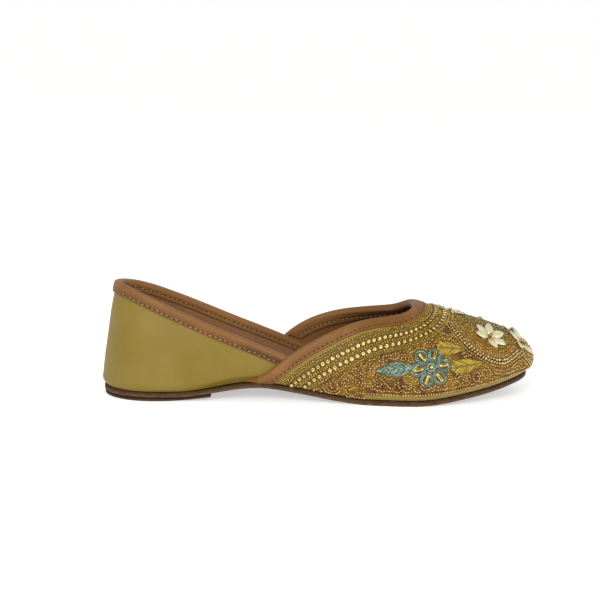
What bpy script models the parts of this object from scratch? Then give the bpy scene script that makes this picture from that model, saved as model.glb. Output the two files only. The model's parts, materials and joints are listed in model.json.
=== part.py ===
"""Flat slip-on shoe for the right foot, with a bound throat and a thin leather sole.

Lengths are in metres. +X points to the toe, +Y to the inner side of the foot and
+Z up. The origin lies on the floor, under the middle of the whole shoe.

Every curved piece is cut from one last. A place on the last has two numbers:
turn runs round the sole's edge, from 0 at the back of the heel to 1 or -1 at the
tip of the toe (positive on the inner side), and climb runs from 0 at the sole's
edge to 1 on the ridge line over the foot.
"""

import math
from bisect import bisect_right
from collections import namedtuple

import bmesh
import bpy
from mathutils import Vector

# Sole, seen from above
SOLE_LENGTH = 0.2460
HEEL_SEAT_WIDTH = 0.0570
WAIST_WIDTH = 0.0535
BALL_WIDTH = 0.0800
HEEL_ROUND_LENGTH = 0.0300
TOE_ROUND_LENGTH = 0.0720
TOE_SWING = 0.0030

# Sole and heel, seen from the side
SOLE_THICKNESS = 0.0030
SOLE_EDGE_ROUND = 0.0005
LIFT_THICKNESS = 0.0021
LIFT_LENGTH = 0.0620
LIFT_INSET = 0.0004
LIFT_SCOOP = 0.0022
LIFT_SCOOP_LENGTH = 0.0300
ARCH_HEIGHT = 0.0076
TOE_SPRING = 0.0102

# Upper
BACK_HEIGHT = 0.0655
INSTEP_HEIGHT = 0.0534
TOE_BOX_HEIGHT = 0.0421
QUARTER_WALL = 0.0018
VAMP_WALL = 0.0020
FEATHER_INSET = 0.0010
UNDERCUT = 0.0022
UNDERCUT_HEIGHT = 0.0060
WING_END_HEIGHT = 0.0012
TUCK_LENGTH = 0.0380
TUCK_LEAD = 0.0040

# Binding of the two toplines
BINDING_LEATHER = 0.0009
QUARTER_BAND_WIDTH = 0.0072
QUARTER_FACING_WIDTH = 0.0100
VAMP_BAND_WIDTH = 0.0072
VAMP_FACING_WIDTH = 0.0095
LEAF_SHARE_OF_WALL = 0.8
FOLD_ROUND_SHARE = 0.6
FOLD_CORNERS = 7

# Insole
INSOLE_THICKNESS = 0.0024
INSOLE_EASE_LENGTH = 0.0200

# Clearance between neighbouring pieces, and where one curved wall covers another
GAP = 0.0003
COVER_GAP = 0.0005

# Steps of the meshes and of the searches on the last
SOLE_STATIONS = 44
LIFT_STATIONS = 16
QUARTER_STATIONS = 54
QUARTER_ROWS = 10
THROAT_STATIONS = 23
TOE_STATIONS = 13
VAMP_ROWS = 12
ROW_CROWDING = 0.8
EDGE_FINENESS = 240
CLIMB_SAMPLES = 60
HALVINGS = 40
WALK_ROUNDS = 12

PlanRow = namedtuple("PlanRow", "along width outer_share inner_share")
PLAN = [
    PlanRow(0.00, HEEL_SEAT_WIDTH, 0.500, 0.500),
    PlanRow(0.16, HEEL_SEAT_WIDTH, 0.500, 0.500),
    PlanRow(0.40, WAIST_WIDTH, 0.530, 0.470),
    PlanRow(0.56, BALL_WIDTH, 0.435, 0.395),
    PlanRow(0.69, BALL_WIDTH, 0.515, 0.485),
    PlanRow(0.82, BALL_WIDTH, 0.500, 0.490),
    PlanRow(1.00, BALL_WIDTH, 0.420, 0.440),
]

# Underside of the outsole over the floor
UnderRow = namedtuple("UnderRow", "along height share")
UNDERSIDE = [
    UnderRow(0.00, LIFT_THICKNESS, 1.00),
    UnderRow(0.17, LIFT_THICKNESS, 1.00),
    UnderRow(0.36, ARCH_HEIGHT, 1.00),
    UnderRow(0.46, ARCH_HEIGHT, 0.60),
    UnderRow(0.54, ARCH_HEIGHT, 0.19),
    UnderRow(0.61, ARCH_HEIGHT, 0.00),
    UnderRow(0.71, TOE_SPRING, 0.00),
    UnderRow(0.85, TOE_SPRING, 0.36),
    UnderRow(1.00, TOE_SPRING, 1.00),
]

# Cross sections of the last: height of the ridge, and how far belly and
# shoulder reach out from the ridge, as a share of the way to the sole's edge
SectionRow = namedtuple("SectionRow", "along height share belly belly_rise shoulder")
SECTIONS = [
    SectionRow(0.00, BACK_HEIGHT, 1.56, 0.97, 0.34, 0.58),
    SectionRow(0.15, BACK_HEIGHT, 1.53, 1.06, 0.34, 0.64),
    SectionRow(0.30, BACK_HEIGHT, 1.41, 1.20, 0.34, 0.74),
    SectionRow(0.42, BACK_HEIGHT, 1.23, 1.26, 0.36, 0.66),
    SectionRow(0.55, INSTEP_HEIGHT, 1.225, 1.26, 0.36, 0.60),
    SectionRow(0.66, INSTEP_HEIGHT, 1.075, 1.24, 0.38, 0.62),
    SectionRow(0.785, INSTEP_HEIGHT, 0.985, 1.20, 0.40, 0.72),
    SectionRow(0.90, TOE_BOX_HEIGHT, 1.125, 1.20, 0.42, 0.80),
    SectionRow(1.00, TOE_BOX_HEIGHT, 1.00, 1.34, 0.42, 0.90),
]
SPINE_BACK_ALONG = 0.116
SPINE_FRONT_ALONG = 0.886

# Finished toplines in the side view, as shares of their named heights
EdgeRow = namedtuple("EdgeRow", "along height outer inner")
QUARTER_TOPLINE = [
    EdgeRow(0.000, BACK_HEIGHT, 0.998, 0.998),
    EdgeRow(0.035, BACK_HEIGHT, 0.985, 0.985),
    EdgeRow(0.066, BACK_HEIGHT, 0.956, 0.958),
    EdgeRow(0.127, BACK_HEIGHT, 0.866, 0.880),
    EdgeRow(0.220, BACK_HEIGHT, 0.710, 0.746),
    EdgeRow(0.314, BACK_HEIGHT, 0.567, 0.611),
    EdgeRow(0.421, BACK_HEIGHT, 0.405, 0.447),
    EdgeRow(0.500, BACK_HEIGHT, 0.262, 0.298),
    EdgeRow(0.581, BACK_HEIGHT, 0.068, 0.090),
    EdgeRow(0.622, BACK_HEIGHT, -0.045, -0.030),
]
VAMP_TOPLINE = [
    EdgeRow(0.280, INSTEP_HEIGHT, 0.140, 0.160),
    EdgeRow(0.327, INSTEP_HEIGHT, 0.190, 0.215),
    EdgeRow(0.354, INSTEP_HEIGHT, 0.232, 0.262),
    EdgeRow(0.378, INSTEP_HEIGHT, 0.300, 0.340),
    EdgeRow(0.405, INSTEP_HEIGHT, 0.405, 0.455),
    EdgeRow(0.428, INSTEP_HEIGHT, 0.493, 0.555),
    EdgeRow(0.476, INSTEP_HEIGHT, 0.641, 0.707),
    EdgeRow(0.525, INSTEP_HEIGHT, 0.755, 0.798),
    EdgeRow(0.574, INSTEP_HEIGHT, 0.842, 0.848),
    EdgeRow(0.623, INSTEP_HEIGHT, 0.886, 0.872),
    EdgeRow(0.663, INSTEP_HEIGHT, 0.905, 0.888),
    EdgeRow(0.696, INSTEP_HEIGHT, 0.930, 0.917),
    EdgeRow(0.716, INSTEP_HEIGHT, 0.971, 0.971),
    EdgeRow(0.724, INSTEP_HEIGHT, 1.000, 1.000),
    EdgeRow(0.745, INSTEP_HEIGHT, 1.120, 1.120),
]

LEAST_LEAF = BINDING_LEATHER * 0.99
HEEL_END = -SOLE_LENGTH / 2
BREAST_X = HEEL_END + LIFT_LENGTH
STEP = 0.002


def smooth(value):
    """Ease from 0 to 1 as value goes from 0 to 1."""
    value = min(max(value, 0.0), 1.0)
    return value * value * (3 - 2 * value)


def natural_line(places, values):
    """Return the natural cubic spline through a table's rows as a function."""
    count = len(places)
    spans = [places[i + 1] - places[i] for i in range(count - 1)]
    rises = [(values[i + 1] - values[i]) / spans[i] for i in range(count - 1)]
    lower = [0.0] * count
    bend = [0.0] * count
    for i in range(1, count - 1):
        pivot = 2 * (spans[i - 1] + spans[i]) - spans[i - 1] * lower[i - 1]
        lower[i] = spans[i] / pivot
        bend[i] = (6 * (rises[i] - rises[i - 1]) - spans[i - 1] * bend[i - 1]) / pivot
    for i in range(count - 2, 0, -1):
        bend[i] -= lower[i] * bend[i + 1]

    def line(place):
        place = min(max(place, places[0]), places[-1])
        k = min(bisect_right(places, place) - 1, count - 2)
        ahead = places[k + 1] - place
        behind = place - places[k]
        span = spans[k]
        return (
            (bend[k] * ahead**3 + bend[k + 1] * behind**3) / (6 * span)
            + (values[k] / span - bend[k] * span / 6) * ahead
            + (values[k + 1] / span - bend[k + 1] * span / 6) * behind
        )

    return line


def level_line(places, values):
    """Return a smooth line through a table's rows that never overshoots them."""
    count = len(places)
    spans = [places[i + 1] - places[i] for i in range(count - 1)]
    rises = [(values[i + 1] - values[i]) / spans[i] for i in range(count - 1)]
    slopes = [rises[0]] + [0.0] * (count - 2) + [rises[-1]]
    for i in range(1, count - 1):
        if rises[i - 1] * rises[i] > 0:
            first = 2 * spans[i] + spans[i - 1]
            second = spans[i] + 2 * spans[i - 1]
            slopes[i] = (first + second) / (first / rises[i - 1] + second / rises[i])

    def line(place):
        place = min(max(place, places[0]), places[-1])
        k = min(bisect_right(places, place) - 1, count - 2)
        part = (place - places[k]) / spans[k]
        return (
            (1 + 2 * part) * (1 - part) ** 2 * values[k]
            + part * (1 - part) ** 2 * spans[k] * slopes[k]
            + part * part * (3 - 2 * part) * values[k + 1]
            + part * part * (part - 1) * spans[k] * slopes[k + 1]
        )

    return line


def column(rows, name):
    """Return one named column of a table."""
    return [getattr(row, name) for row in rows]


def scaled_line(rows, name, kind=natural_line):
    """Return the line of a column whose shares follow each row's named height."""
    return kind(column(rows, "along"), [row.height * getattr(row, name) for row in rows])


HALF_WIDTH = {
    -1: natural_line(column(PLAN, "along"), [row.width * row.outer_share for row in PLAN]),
    1: natural_line(column(PLAN, "along"), [row.width * row.inner_share for row in PLAN]),
}
UNDERSIDE_LINE = scaled_line(UNDERSIDE, "share", level_line)
RIDGE_LINE = scaled_line(SECTIONS, "share")
BELLY_LINE = natural_line(column(SECTIONS, "along"), column(SECTIONS, "belly"))
BELLY_RISE_LINE = natural_line(column(SECTIONS, "along"), column(SECTIONS, "belly_rise"))
SHOULDER_LINE = natural_line(column(SECTIONS, "along"), column(SECTIONS, "shoulder"))


def topline(rows):
    """Return a finished topline's height over x for each side."""
    return {-1: scaled_line(rows, "outer"), 1: scaled_line(rows, "inner")}


QUARTER_EDGE = topline(QUARTER_TOPLINE)
VAMP_EDGE = topline(VAMP_TOPLINE)


def along_of(x):
    """Return how far x lies along the sole, from 0 at the heel to 1 at the toe."""
    return (x - HEEL_END) / SOLE_LENGTH


def wrap(turn):
    """Bring a turn past the toe round to the other side."""
    return (turn + 1) % 2 - 1


def side_of(turn):
    """Return 1 on the inner side and -1 on the outer side."""
    return 1 if wrap(turn) >= 0 else -1


def share_of(turn):
    """Return how far along the sole a turn lies, close together at both ends."""
    return (1 - math.cos(math.pi * abs(wrap(turn)))) / 2


def turn_of(share):
    """Return the turn on the inner side at a share of the sole's length."""
    return math.acos(1 - 2 * share) / math.pi


def centre_y(share):
    """Return the sole's middle line, which swings inwards to the toe."""
    return TOE_SWING * smooth((share - 0.45) / 0.55)


def half_width(share, side):
    """Return the sole's half width, rounded off at heel and toe."""
    from_heel = share * SOLE_LENGTH
    from_toe = SOLE_LENGTH - from_heel
    heel_part = 1 - min(from_heel / HEEL_ROUND_LENGTH, 1.0)
    toe_part = 1 - min(from_toe / TOE_ROUND_LENGTH, 1.0)
    heel_round = math.sqrt(1 - heel_part**2)
    toe_round = math.sqrt(1 - toe_part**2.1)
    return HALF_WIDTH[side](share) * heel_round * toe_round


def plan_point(turn):
    """Return a point of the sole's edge, seen from above."""
    share = share_of(turn)
    side = side_of(turn)
    y = centre_y(share) + side * half_width(share, side)
    return Vector((HEEL_END + SOLE_LENGTH * share, y))


def sole_edge(turn, grow=0.0):
    """Return a point of the sole's edge moved outwards by grow."""
    run = plan_point(turn + STEP) - plan_point(turn - STEP)
    out = Vector((-run.y, run.x)).normalized()
    return plan_point(turn) + out * grow


def underside(x):
    """Return the height of the outsole's underside."""
    return UNDERSIDE_LINE(along_of(x))


def sole_top(x):
    """Return the height of the outsole's upper face."""
    return underside(x) + SOLE_THICKNESS


def spine_x(share):
    """Return where the ridge line lies for a share of the sole's length."""
    back = HEEL_END + SPINE_BACK_ALONG * SOLE_LENGTH
    front = HEEL_END + SPINE_FRONT_ALONG * SOLE_LENGTH
    return back + (front - back) * share


def ridge_slope(share):
    """Return the ridge line's slope over the forefoot."""
    if share < 0.5:
        return 0.0
    low = max(share - 0.01, 0.0)
    high = min(share + 0.01, 1.0)
    return (RIDGE_LINE(high) - RIDGE_LINE(low)) / (spine_x(high) - spine_x(low))


def skin(turn, climb):
    """Return a point on the last; a climb over 1 comes down the other side."""
    if climb > 1:
        turn, climb = -turn, 2 - climb
    share = share_of(turn)
    foot = sole_edge(turn, -FEATHER_INSET)
    foot_z = sole_top(foot.x) + GAP
    ridge_z = RIDGE_LINE(share)
    ridge = Vector((spine_x(share), centre_y(share)))
    run = foot - ridge
    belly_z = foot_z + BELLY_RISE_LINE(share) * (ridge_z - foot_z)
    shoulder_z = ridge_z + ridge_slope(share) * run.x * SHOULDER_LINE(share)
    down = 1 - climb
    weights = (down**3, 3 * climb * down**2, 3 * climb**2 * down, climb**3)
    reach = weights[0] + weights[1] * BELLY_LINE(share) + weights[2] * SHOULDER_LINE(share)
    z = sum(w * h for w, h in zip(weights, (foot_z, belly_z, shoulder_z, ridge_z)))
    low = min(max((z - foot_z) / UNDERCUT_HEIGHT, 0.0), 1.0)
    reach += UNDERCUT / run.length * (1 - (1 - low) ** 2.5) * down**2
    place = ridge + run * reach
    return Vector((place.x, place.y, z))


def skin_slopes(turn, climb):
    """Return how a point of the last moves with turn and with climb."""
    low = max(climb - STEP, 0.0)
    high = climb + STEP
    by_turn = (skin(turn + STEP, climb) - skin(turn - STEP, climb)) / (2 * STEP)
    by_climb = (skin(turn, high) - skin(turn, low)) / (high - low)
    return by_turn, by_climb


def skin_normal(turn, climb):
    """Return the outward direction of the last."""
    by_turn, by_climb = skin_slopes(turn, min(climb, 1.0))
    return by_climb.cross(by_turn).normalized()


def wall_point(turn, climb, out):
    """Return a point off the last; the lowest row stays on the outsole."""
    normal = skin_normal(turn, climb)
    if climb > 0:
        return skin(turn, climb) + normal * out
    level = Vector((normal.x, normal.y, 0)).normalized()
    point = skin(turn, 0) + level * out
    point.z = sole_top(point.x) + GAP
    return point


def edge_climb(turn, edge):
    """Return the climb at which a wall meets its cut edge, 1 where it has none."""
    drop = GAP + BINDING_LEATHER

    def over(climb):
        point = skin(turn, climb)
        return point.z - edge[side_of(turn)](along_of(point.x)) + drop

    low = 0.0
    for k in range(1, CLIMB_SAMPLES + 1):
        high = k / CLIMB_SAMPLES
        if over(high) > 0:
            break
        low = high
    else:
        return 1.0
    for _ in range(HALVINGS):
        middle = (low + high) / 2
        if over(middle) > 0:
            high = middle
        else:
            low = middle
    return (low + high) / 2


def rows_up_to(top, count):
    """Return the climbs of a wall's rows, close together at both ends."""
    climbs = []
    for k in range(count + 1):
        part = k / count
        crowded = (1 - math.cos(math.pi * part)) / 2
        climbs.append(top * (part + (crowded - part) * ROW_CROWDING))
    return climbs


def edge_height_left(turn, edge):
    """Return how high a wall stands over its lowest row."""
    return skin(turn, edge_climb(turn, edge)).z - skin(turn, 0).z


def find_turn(test, low, high):
    """Return the turn between low and high where a test changes from true to false."""
    for _ in range(HALVINGS):
        middle = (low + high) / 2
        if test(middle):
            low = middle
        else:
            high = middle
    return (low + high) / 2


def wing_end(edge, side, middle, end):
    """Return the turn where a wall's edge has come down to its last low step."""
    return side * find_turn(
        lambda turn: edge_height_left(side * turn, edge) > WING_END_HEIGHT, middle, end
    )


VAMP_MIDDLE = turn_of(0.50)
QUARTER_MIDDLE = turn_of(0.40)
THROAT_TIP = find_turn(lambda turn: edge_climb(turn, VAMP_EDGE) < 1, VAMP_MIDDLE, turn_of(0.95))
VAMP_END = {side: wing_end(VAMP_EDGE, side, VAMP_MIDDLE, turn_of(0.15)) for side in (-1, 1)}
QUARTER_END = {
    side: wing_end(QUARTER_EDGE, side, QUARTER_MIDDLE, turn_of(0.75)) for side in (-1, 1)
}


def tuck(x):
    """Return how deep the quarter lies under the last, where the vamp covers it."""
    full = min(skin(VAMP_END[side], 0).x for side in (-1, 1)) - TUCK_LEAD
    return (VAMP_WALL + COVER_GAP) * smooth((x - full + TUCK_LENGTH) / TUCK_LENGTH)


def quarter_point(turn, climb, depth):
    """Return a point of the quarter, depth below its outer face."""
    return wall_point(turn, climb, -tuck(skin(turn, climb).x) - depth)


def vamp_point(turn, climb, depth):
    """Return a point of the vamp, depth below its outer face."""
    return wall_point(turn, climb, -depth)


class EdgeLine:
    """A wall's cut edge, measured along its length from one turn to another."""

    def __init__(self, edge, first, last):
        self.edge = edge
        step = (last - first) / EDGE_FINENESS
        self.turns = [first + step * k for k in range(EDGE_FINENESS + 1)]
        points = [self.point(turn) for turn in self.turns]
        self.lengths = [0.0]
        for before, after in zip(points, points[1:]):
            self.lengths.append(self.lengths[-1] + (after - before).length)

    def point(self, turn):
        """Return the edge's point at a turn."""
        return skin(turn, edge_climb(turn, self.edge))

    def turn_at(self, length):
        """Return the turn at a length along the edge."""
        last = len(self.lengths) - 2
        k = min(max(bisect_right(self.lengths, length) - 1, 0), last)
        part = (length - self.lengths[k]) / (self.lengths[k + 1] - self.lengths[k])
        return self.turns[k] + (self.turns[k + 1] - self.turns[k]) * part

    def length_at(self, turn):
        """Return the length along the edge at a turn."""
        last = len(self.turns) - 2
        step = self.turns[1] - self.turns[0]
        k = min(max(int((turn - self.turns[0]) / step), 0), last)
        part = (turn - self.turns[k]) / step
        return self.lengths[k] + (self.lengths[k + 1] - self.lengths[k]) * part

    def stations(self, count, marks):
        """Return turns a like length apart, with the marked lengths among them."""
        total = self.lengths[-1]
        spacing = total / count
        lengths = [0.0, total] + list(marks)
        for k in range(1, count):
            length = spacing * k
            if min(abs(length - other) for other in lengths[:2] + list(marks)) > 0.4 * spacing:
                lengths.append(length)
        return [self.turn_at(length) for length in sorted(lengths)]


class Crossing:
    """Where the quarter's edge runs under the vamp's edge on one side."""

    def __init__(self, side):
        self.side = side
        self.turn = side * find_turn(
            lambda turn: edge_climb(side * turn, QUARTER_EDGE) > edge_climb(side * turn, VAMP_EDGE),
            abs(VAMP_END[side]),
            abs(QUARTER_END[side]),
        )
        runs = []
        for edge in (QUARTER_EDGE, VAMP_EDGE):
            ahead = self.turn + side * 5 * STEP
            behind = self.turn - side * 5 * STEP
            run = skin(ahead, edge_climb(ahead, edge)) - skin(behind, edge_climb(behind, edge))
            runs.append(run.normalized())
        self.angle = runs[0].angle(runs[1])
        self.clear = BINDING_LEATHER + 2 * COVER_GAP

    def leaf_width(self, distance, full):
        """Return a leaf's width at a distance along its edge from the crossing."""
        width = distance * math.tan(self.angle) - self.clear / math.cos(self.angle)
        return min(width, full) if width >= LEAST_LEAF else 0.0

    def distance(self, width):
        """Return the distance from the crossing at which a leaf has a width."""
        return (width + self.clear / math.cos(self.angle)) / math.tan(self.angle)

    def marks(self, full):
        """Return the distances between which a leaf grows from nothing to full."""
        start = self.distance(BINDING_LEATHER)
        return start - GAP, start, self.distance(full)


CROSSING = {side: Crossing(side) for side in (-1, 1)}
QUARTER_LINE = EdgeLine(QUARTER_EDGE, QUARTER_END[-1], QUARTER_END[1])
VAMP_LINE = {side: EdgeLine(VAMP_EDGE, VAMP_END[side], side * THROAT_TIP) for side in (-1, 1)}


def walk(turn, climb, aim):
    """Return the place on the last that lies nearest to a point in space."""
    for _ in range(WALK_ROUNDS):
        miss = aim - skin(turn, climb)
        by_turn, by_climb = skin_slopes(turn, climb)
        a, b, c = by_turn.dot(by_turn), by_turn.dot(by_climb), by_climb.dot(by_climb)
        p, q = miss.dot(by_turn), miss.dot(by_climb)
        scale = a * c - b * b
        turn += (p * c - q * b) / scale
        climb = max(climb + (q * a - p * b) / scale, 0.0)
    return turn, climb


def link(mesh, loops, closed):
    """Join rings or rows of corners, one after another, with four-sided faces."""
    for first, second in zip(loops, loops[1:]):
        count = len(first)
        for k in range(count if closed else count - 1):
            after = (k + 1) % count
            corners = []
            for corner in (first[k], first[after], second[after], second[k]):
                if corner not in corners:
                    corners.append(corner)
            if len(corners) > 2:
                mesh.faces.new(corners)


def finish(mesh, name, material):
    """Turn a closed mesh outwards, make it an object and give it its material."""
    bmesh.ops.recalc_face_normals(mesh, faces=mesh.faces)
    if mesh.calc_volume(signed=True) < 0:
        bmesh.ops.reverse_faces(mesh, faces=mesh.faces)
    data = bpy.data.meshes.new(name)
    mesh.to_mesh(data)
    mesh.free()
    data.shade_smooth()
    data.set_sharp_from_angle(angle=math.radians(35))
    data.materials.append(material)
    piece = bpy.data.objects.new(name, data)
    bpy.context.scene.collection.objects.link(piece)
    return piece


def skin_material(name, colour, roughness):
    """Return a material of leather or cloth."""
    material = bpy.data.materials.new(name)
    material.use_nodes = True
    shader = material.node_tree.nodes["Principled BSDF"]
    shader.inputs["Base Color"].default_value = (*colour, 1)
    shader.inputs["Roughness"].default_value = roughness
    shader.inputs["Metallic"].default_value = 0.0
    return material


def build_outsole(material):
    """Build the outsole, a plate with arch, toe spring and a rounded edge."""
    shares = [row.along for row in UNDERSIDE] + [row.along for row in PLAN]
    turns = {round(turn_of(share), 5) for share in shares}
    turns |= {round(k / SOLE_STATIONS, 5) for k in range(SOLE_STATIONS + 1)}
    turns = sorted(turns)
    turns = [turn for k, turn in enumerate(turns) if k == 0 or turn - turns[k - 1] > 0.004]
    mesh = bmesh.new()

    def corner(turn, grow, thickness):
        place = sole_edge(turn, grow)
        return mesh.verts.new((place.x, place.y, underside(place.x) + thickness))

    ring_turns = turns + [-turn for turn in reversed(turns[1:-1])]
    profile = (
        (-SOLE_EDGE_ROUND, SOLE_THICKNESS),
        (0.0, SOLE_THICKNESS - SOLE_EDGE_ROUND),
        (0.0, SOLE_EDGE_ROUND),
        (-SOLE_EDGE_ROUND, 0.0),
    )
    rings = [[corner(turn, *place) for turn in ring_turns] for place in profile]
    link(mesh, rings, closed=True)
    cover(mesh, rings[0])
    cover(mesh, rings[-1])
    return finish(mesh, "outsole", material)


def cover(mesh, ring):
    """Close a ring that starts at the heel with strips from side to side."""
    half = len(ring) // 2
    inner = ring[: half + 1]
    outer = [ring[0]] + ring[:half - 1:-1]
    link(mesh, [inner, outer], closed=False)


def build_heel_lift(material):
    """Build the low heel lift, flat on the floor and scooped up to its breast."""
    last = find_turn(lambda turn: sole_edge(turn, -LIFT_INSET).x < BREAST_X, 0.0, 0.9)
    turns = [last * k / LIFT_STATIONS for k in range(LIFT_STATIONS + 1)]
    ring_turns = turns[:0:-1] + [-turn for turn in turns]
    mesh = bmesh.new()
    scoop_start = BREAST_X - LIFT_SCOOP_LENGTH

    def floor_height(x):
        return LIFT_SCOOP * smooth((x - scoop_start) / (2 * LIFT_SCOOP_LENGTH)) * 2

    def row(height):
        corners = []
        for turn in ring_turns:
            place = sole_edge(turn, -LIFT_INSET)
            corners.append(mesh.verts.new((place.x, place.y, height(place.x))))
        return corners

    upper = row(lambda x: underside(x) - GAP)
    lower = row(floor_height)
    link(mesh, [upper, lower], closed=True)
    for ring in (upper, lower):
        inner = ring[: LIFT_STATIONS + 1]
        outer = ring[: LIFT_STATIONS - 1:-1]
        link(mesh, [inner, outer], closed=False)
    return finish(mesh, "heel_lift", material)


def insole_inset(turn):
    """Return how far the insole keeps back from the sole's edge."""
    x = skin(turn, 0).x
    quarter_front = max(skin(QUARTER_END[side], 0).x for side in (-1, 1))
    quarter_depth = tuck(x) + QUARTER_WALL
    ahead = smooth((x - quarter_front - TUCK_LEAD) / INSOLE_EASE_LENGTH)
    depth = quarter_depth * (1 - ahead) + VAMP_WALL * ahead
    return FEATHER_INSET + depth + 2 * GAP


def build_insole(material):
    """Build the insole, a leather plate inside the walls on the outsole."""
    turns = [k / SOLE_STATIONS for k in range(SOLE_STATIONS + 1)]
    ring_turns = turns + [-turn for turn in reversed(turns[1:-1])]
    mesh = bmesh.new()

    def ring(thickness):
        corners = []
        for turn in ring_turns:
            place = sole_edge(turn, -insole_inset(turn))
            corners.append(mesh.verts.new((place.x, place.y, sole_top(place.x) + GAP + thickness)))
        return corners

    rings = [ring(INSOLE_THICKNESS), ring(0.0)]
    link(mesh, rings, closed=True)
    cover(mesh, rings[0])
    cover(mesh, rings[1])
    return finish(mesh, "insole", material)


def close_rim(mesh, faces, row, first=None, last=None):
    """Join the two faces of a wall along a row of their upright strips."""
    link(mesh, [[strip[row] for strip in face[first:last]] for face in faces], closed=False)


def close_ends(mesh, faces):
    """Join the two faces of a wall at its first and its last upright strip."""
    for end in (0, -1):
        link(mesh, [face[end] for face in faces], closed=False)


def quarter_turns():
    """Return the turns of the quarter's columns, from the outer to the inner end."""
    marks = []
    for side, crossing in CROSSING.items():
        cross = QUARTER_LINE.length_at(crossing.turn)
        marks += [cross - side * distance for distance in crossing.marks(QUARTER_BAND_WIDTH)]
    return QUARTER_LINE.stations(QUARTER_STATIONS, marks)


def build_quarter(material):
    """Build the quarter, one hollow wall round the heel from wing to wing."""
    mesh = bmesh.new()
    faces = []
    for depth in (0.0, QUARTER_WALL):
        strips = []
        for turn in quarter_turns():
            rows = rows_up_to(edge_climb(turn, QUARTER_EDGE), QUARTER_ROWS)
            strips.append([mesh.verts.new(quarter_point(turn, climb, depth)) for climb in rows])
        link(mesh, strips, closed=False)
        faces.append(strips)
    for row in (0, -1):
        close_rim(mesh, faces, row)
    close_ends(mesh, faces)
    return finish(mesh, "quarter", material)


def throat_turns(side):
    """Return the turns of the vamp's columns on one side, from wing end to throat."""
    crossing = CROSSING[side]
    line = VAMP_LINE[side]
    cross = line.length_at(crossing.turn)
    marks = [cross + distance for distance in crossing.marks(VAMP_FACING_WIDTH)]
    return line.stations(THROAT_STATIONS, marks)


def build_vamp(material):
    """Build the vamp, one hollow wall over the toe, closed on its ridge."""
    inner = throat_turns(1)[:-1]
    outer = throat_turns(-1)[-2::-1]
    toe = [THROAT_TIP + (1 - THROAT_TIP) * k / TOE_STATIONS for k in range(TOE_STATIONS + 1)]
    turns = inner + toe + [-turn for turn in reversed(toe[:-1])] + outer
    mesh = bmesh.new()
    faces = []
    for depth in (0.0, VAMP_WALL):
        ridge = {turn: mesh.verts.new(vamp_point(turn, 1.0, depth)) for turn in toe}

        strips = []
        for turn in turns:
            on_ridge = abs(turn) in ridge
            rows = rows_up_to(1.0 if on_ridge else edge_climb(turn, VAMP_EDGE), VAMP_ROWS)
            strip = [mesh.verts.new(vamp_point(turn, climb, depth)) for climb in rows[:-1]]
            top = ridge[abs(turn)] if on_ridge else mesh.verts.new(vamp_point(turn, rows[-1], depth))
            strip.append(top)
            strips.append(strip)
        link(mesh, strips, closed=False)
        faces.append(strips)
    close_rim(mesh, faces, -1, last=len(inner) + 1)
    close_rim(mesh, faces, -1, first=len(turns) - len(outer) - 1)
    close_rim(mesh, faces, 0)
    close_ends(mesh, faces)
    return finish(mesh, "vamp", material)


class Edge:
    """A cut edge with its direction into the wall at each of its stations."""

    def __init__(self, turns, edge):
        self.turns = turns
        self.climbs = [edge_climb(turn, edge) for turn in turns]
        self.points = [skin(turn, climb) for turn, climb in zip(turns, self.climbs)]
        self.inward = []
        last = len(turns) - 1
        for k in range(last + 1):
            run = self.points[min(k + 1, last)] - self.points[max(k - 1, 0)]
            normal = skin_normal(turns[k], self.climbs[k])
            self.inward.append(normal.cross(run).normalized())

    def place(self, k, width, out):
        """Return the point at a width into the wall, and out from the last."""
        turn, climb = self.turns[k], self.climbs[k]
        aim = self.points[k] + self.inward[k] * width
        if width > 0:
            turn, climb = walk(turn, climb, aim)
            return skin(turn, climb) + skin_normal(turn, climb) * out
        return aim + skin_normal(turn, climb) * out


def build_band(edge, sections, name, material):
    """Build a binding from the ring of corners at each station of an edge."""
    mesh = bmesh.new()
    rings = []
    for k, section in enumerate(sections):
        rings.append([mesh.verts.new(edge.place(k, width, out)) for width, out in section])
    link(mesh, rings, closed=True)
    for ring in (rings[0], rings[-1]):
        mesh.faces.new(ring)
    return finish(mesh, name, material)


def band_section(outer_width, inner_width, outer_face, inner_face):
    """Return the corners of a folded binding: width into the wall, and height."""
    fold = -GAP
    top = -GAP - BINDING_LEATHER
    outside = outer_face + COVER_GAP
    inside = inner_face - COVER_GAP
    parts = [k / (FOLD_CORNERS - 1) for k in range(FOLD_CORNERS)]
    section = []
    if outer_width >= LEAST_LEAF:
        section += [
            (top, outer_face),
            (top * FOLD_ROUND_SHARE, outside + BINDING_LEATHER),
            (outer_width / 2, outside + BINDING_LEATHER),
            (outer_width, outside + BINDING_LEATHER),
            (outer_width, outside),
            (outer_width / 2, outside),
            (fold, outside),
        ]
    else:
        section += [(top + (fold - top) * part, outer_face) for part in parts]
    if inner_width >= LEAST_LEAF:
        section += [
            (fold, inside),
            (inner_width / 2, inside),
            (inner_width, inside),
            (inner_width, inside - BINDING_LEATHER),
            (inner_width / 2, inside - BINDING_LEATHER),
            (top * FOLD_ROUND_SHARE, inside - BINDING_LEATHER),
            (top, inner_face),
        ]
    else:
        section += [(fold + (top - fold) * part, inner_face) for part in parts]
    return section


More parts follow.
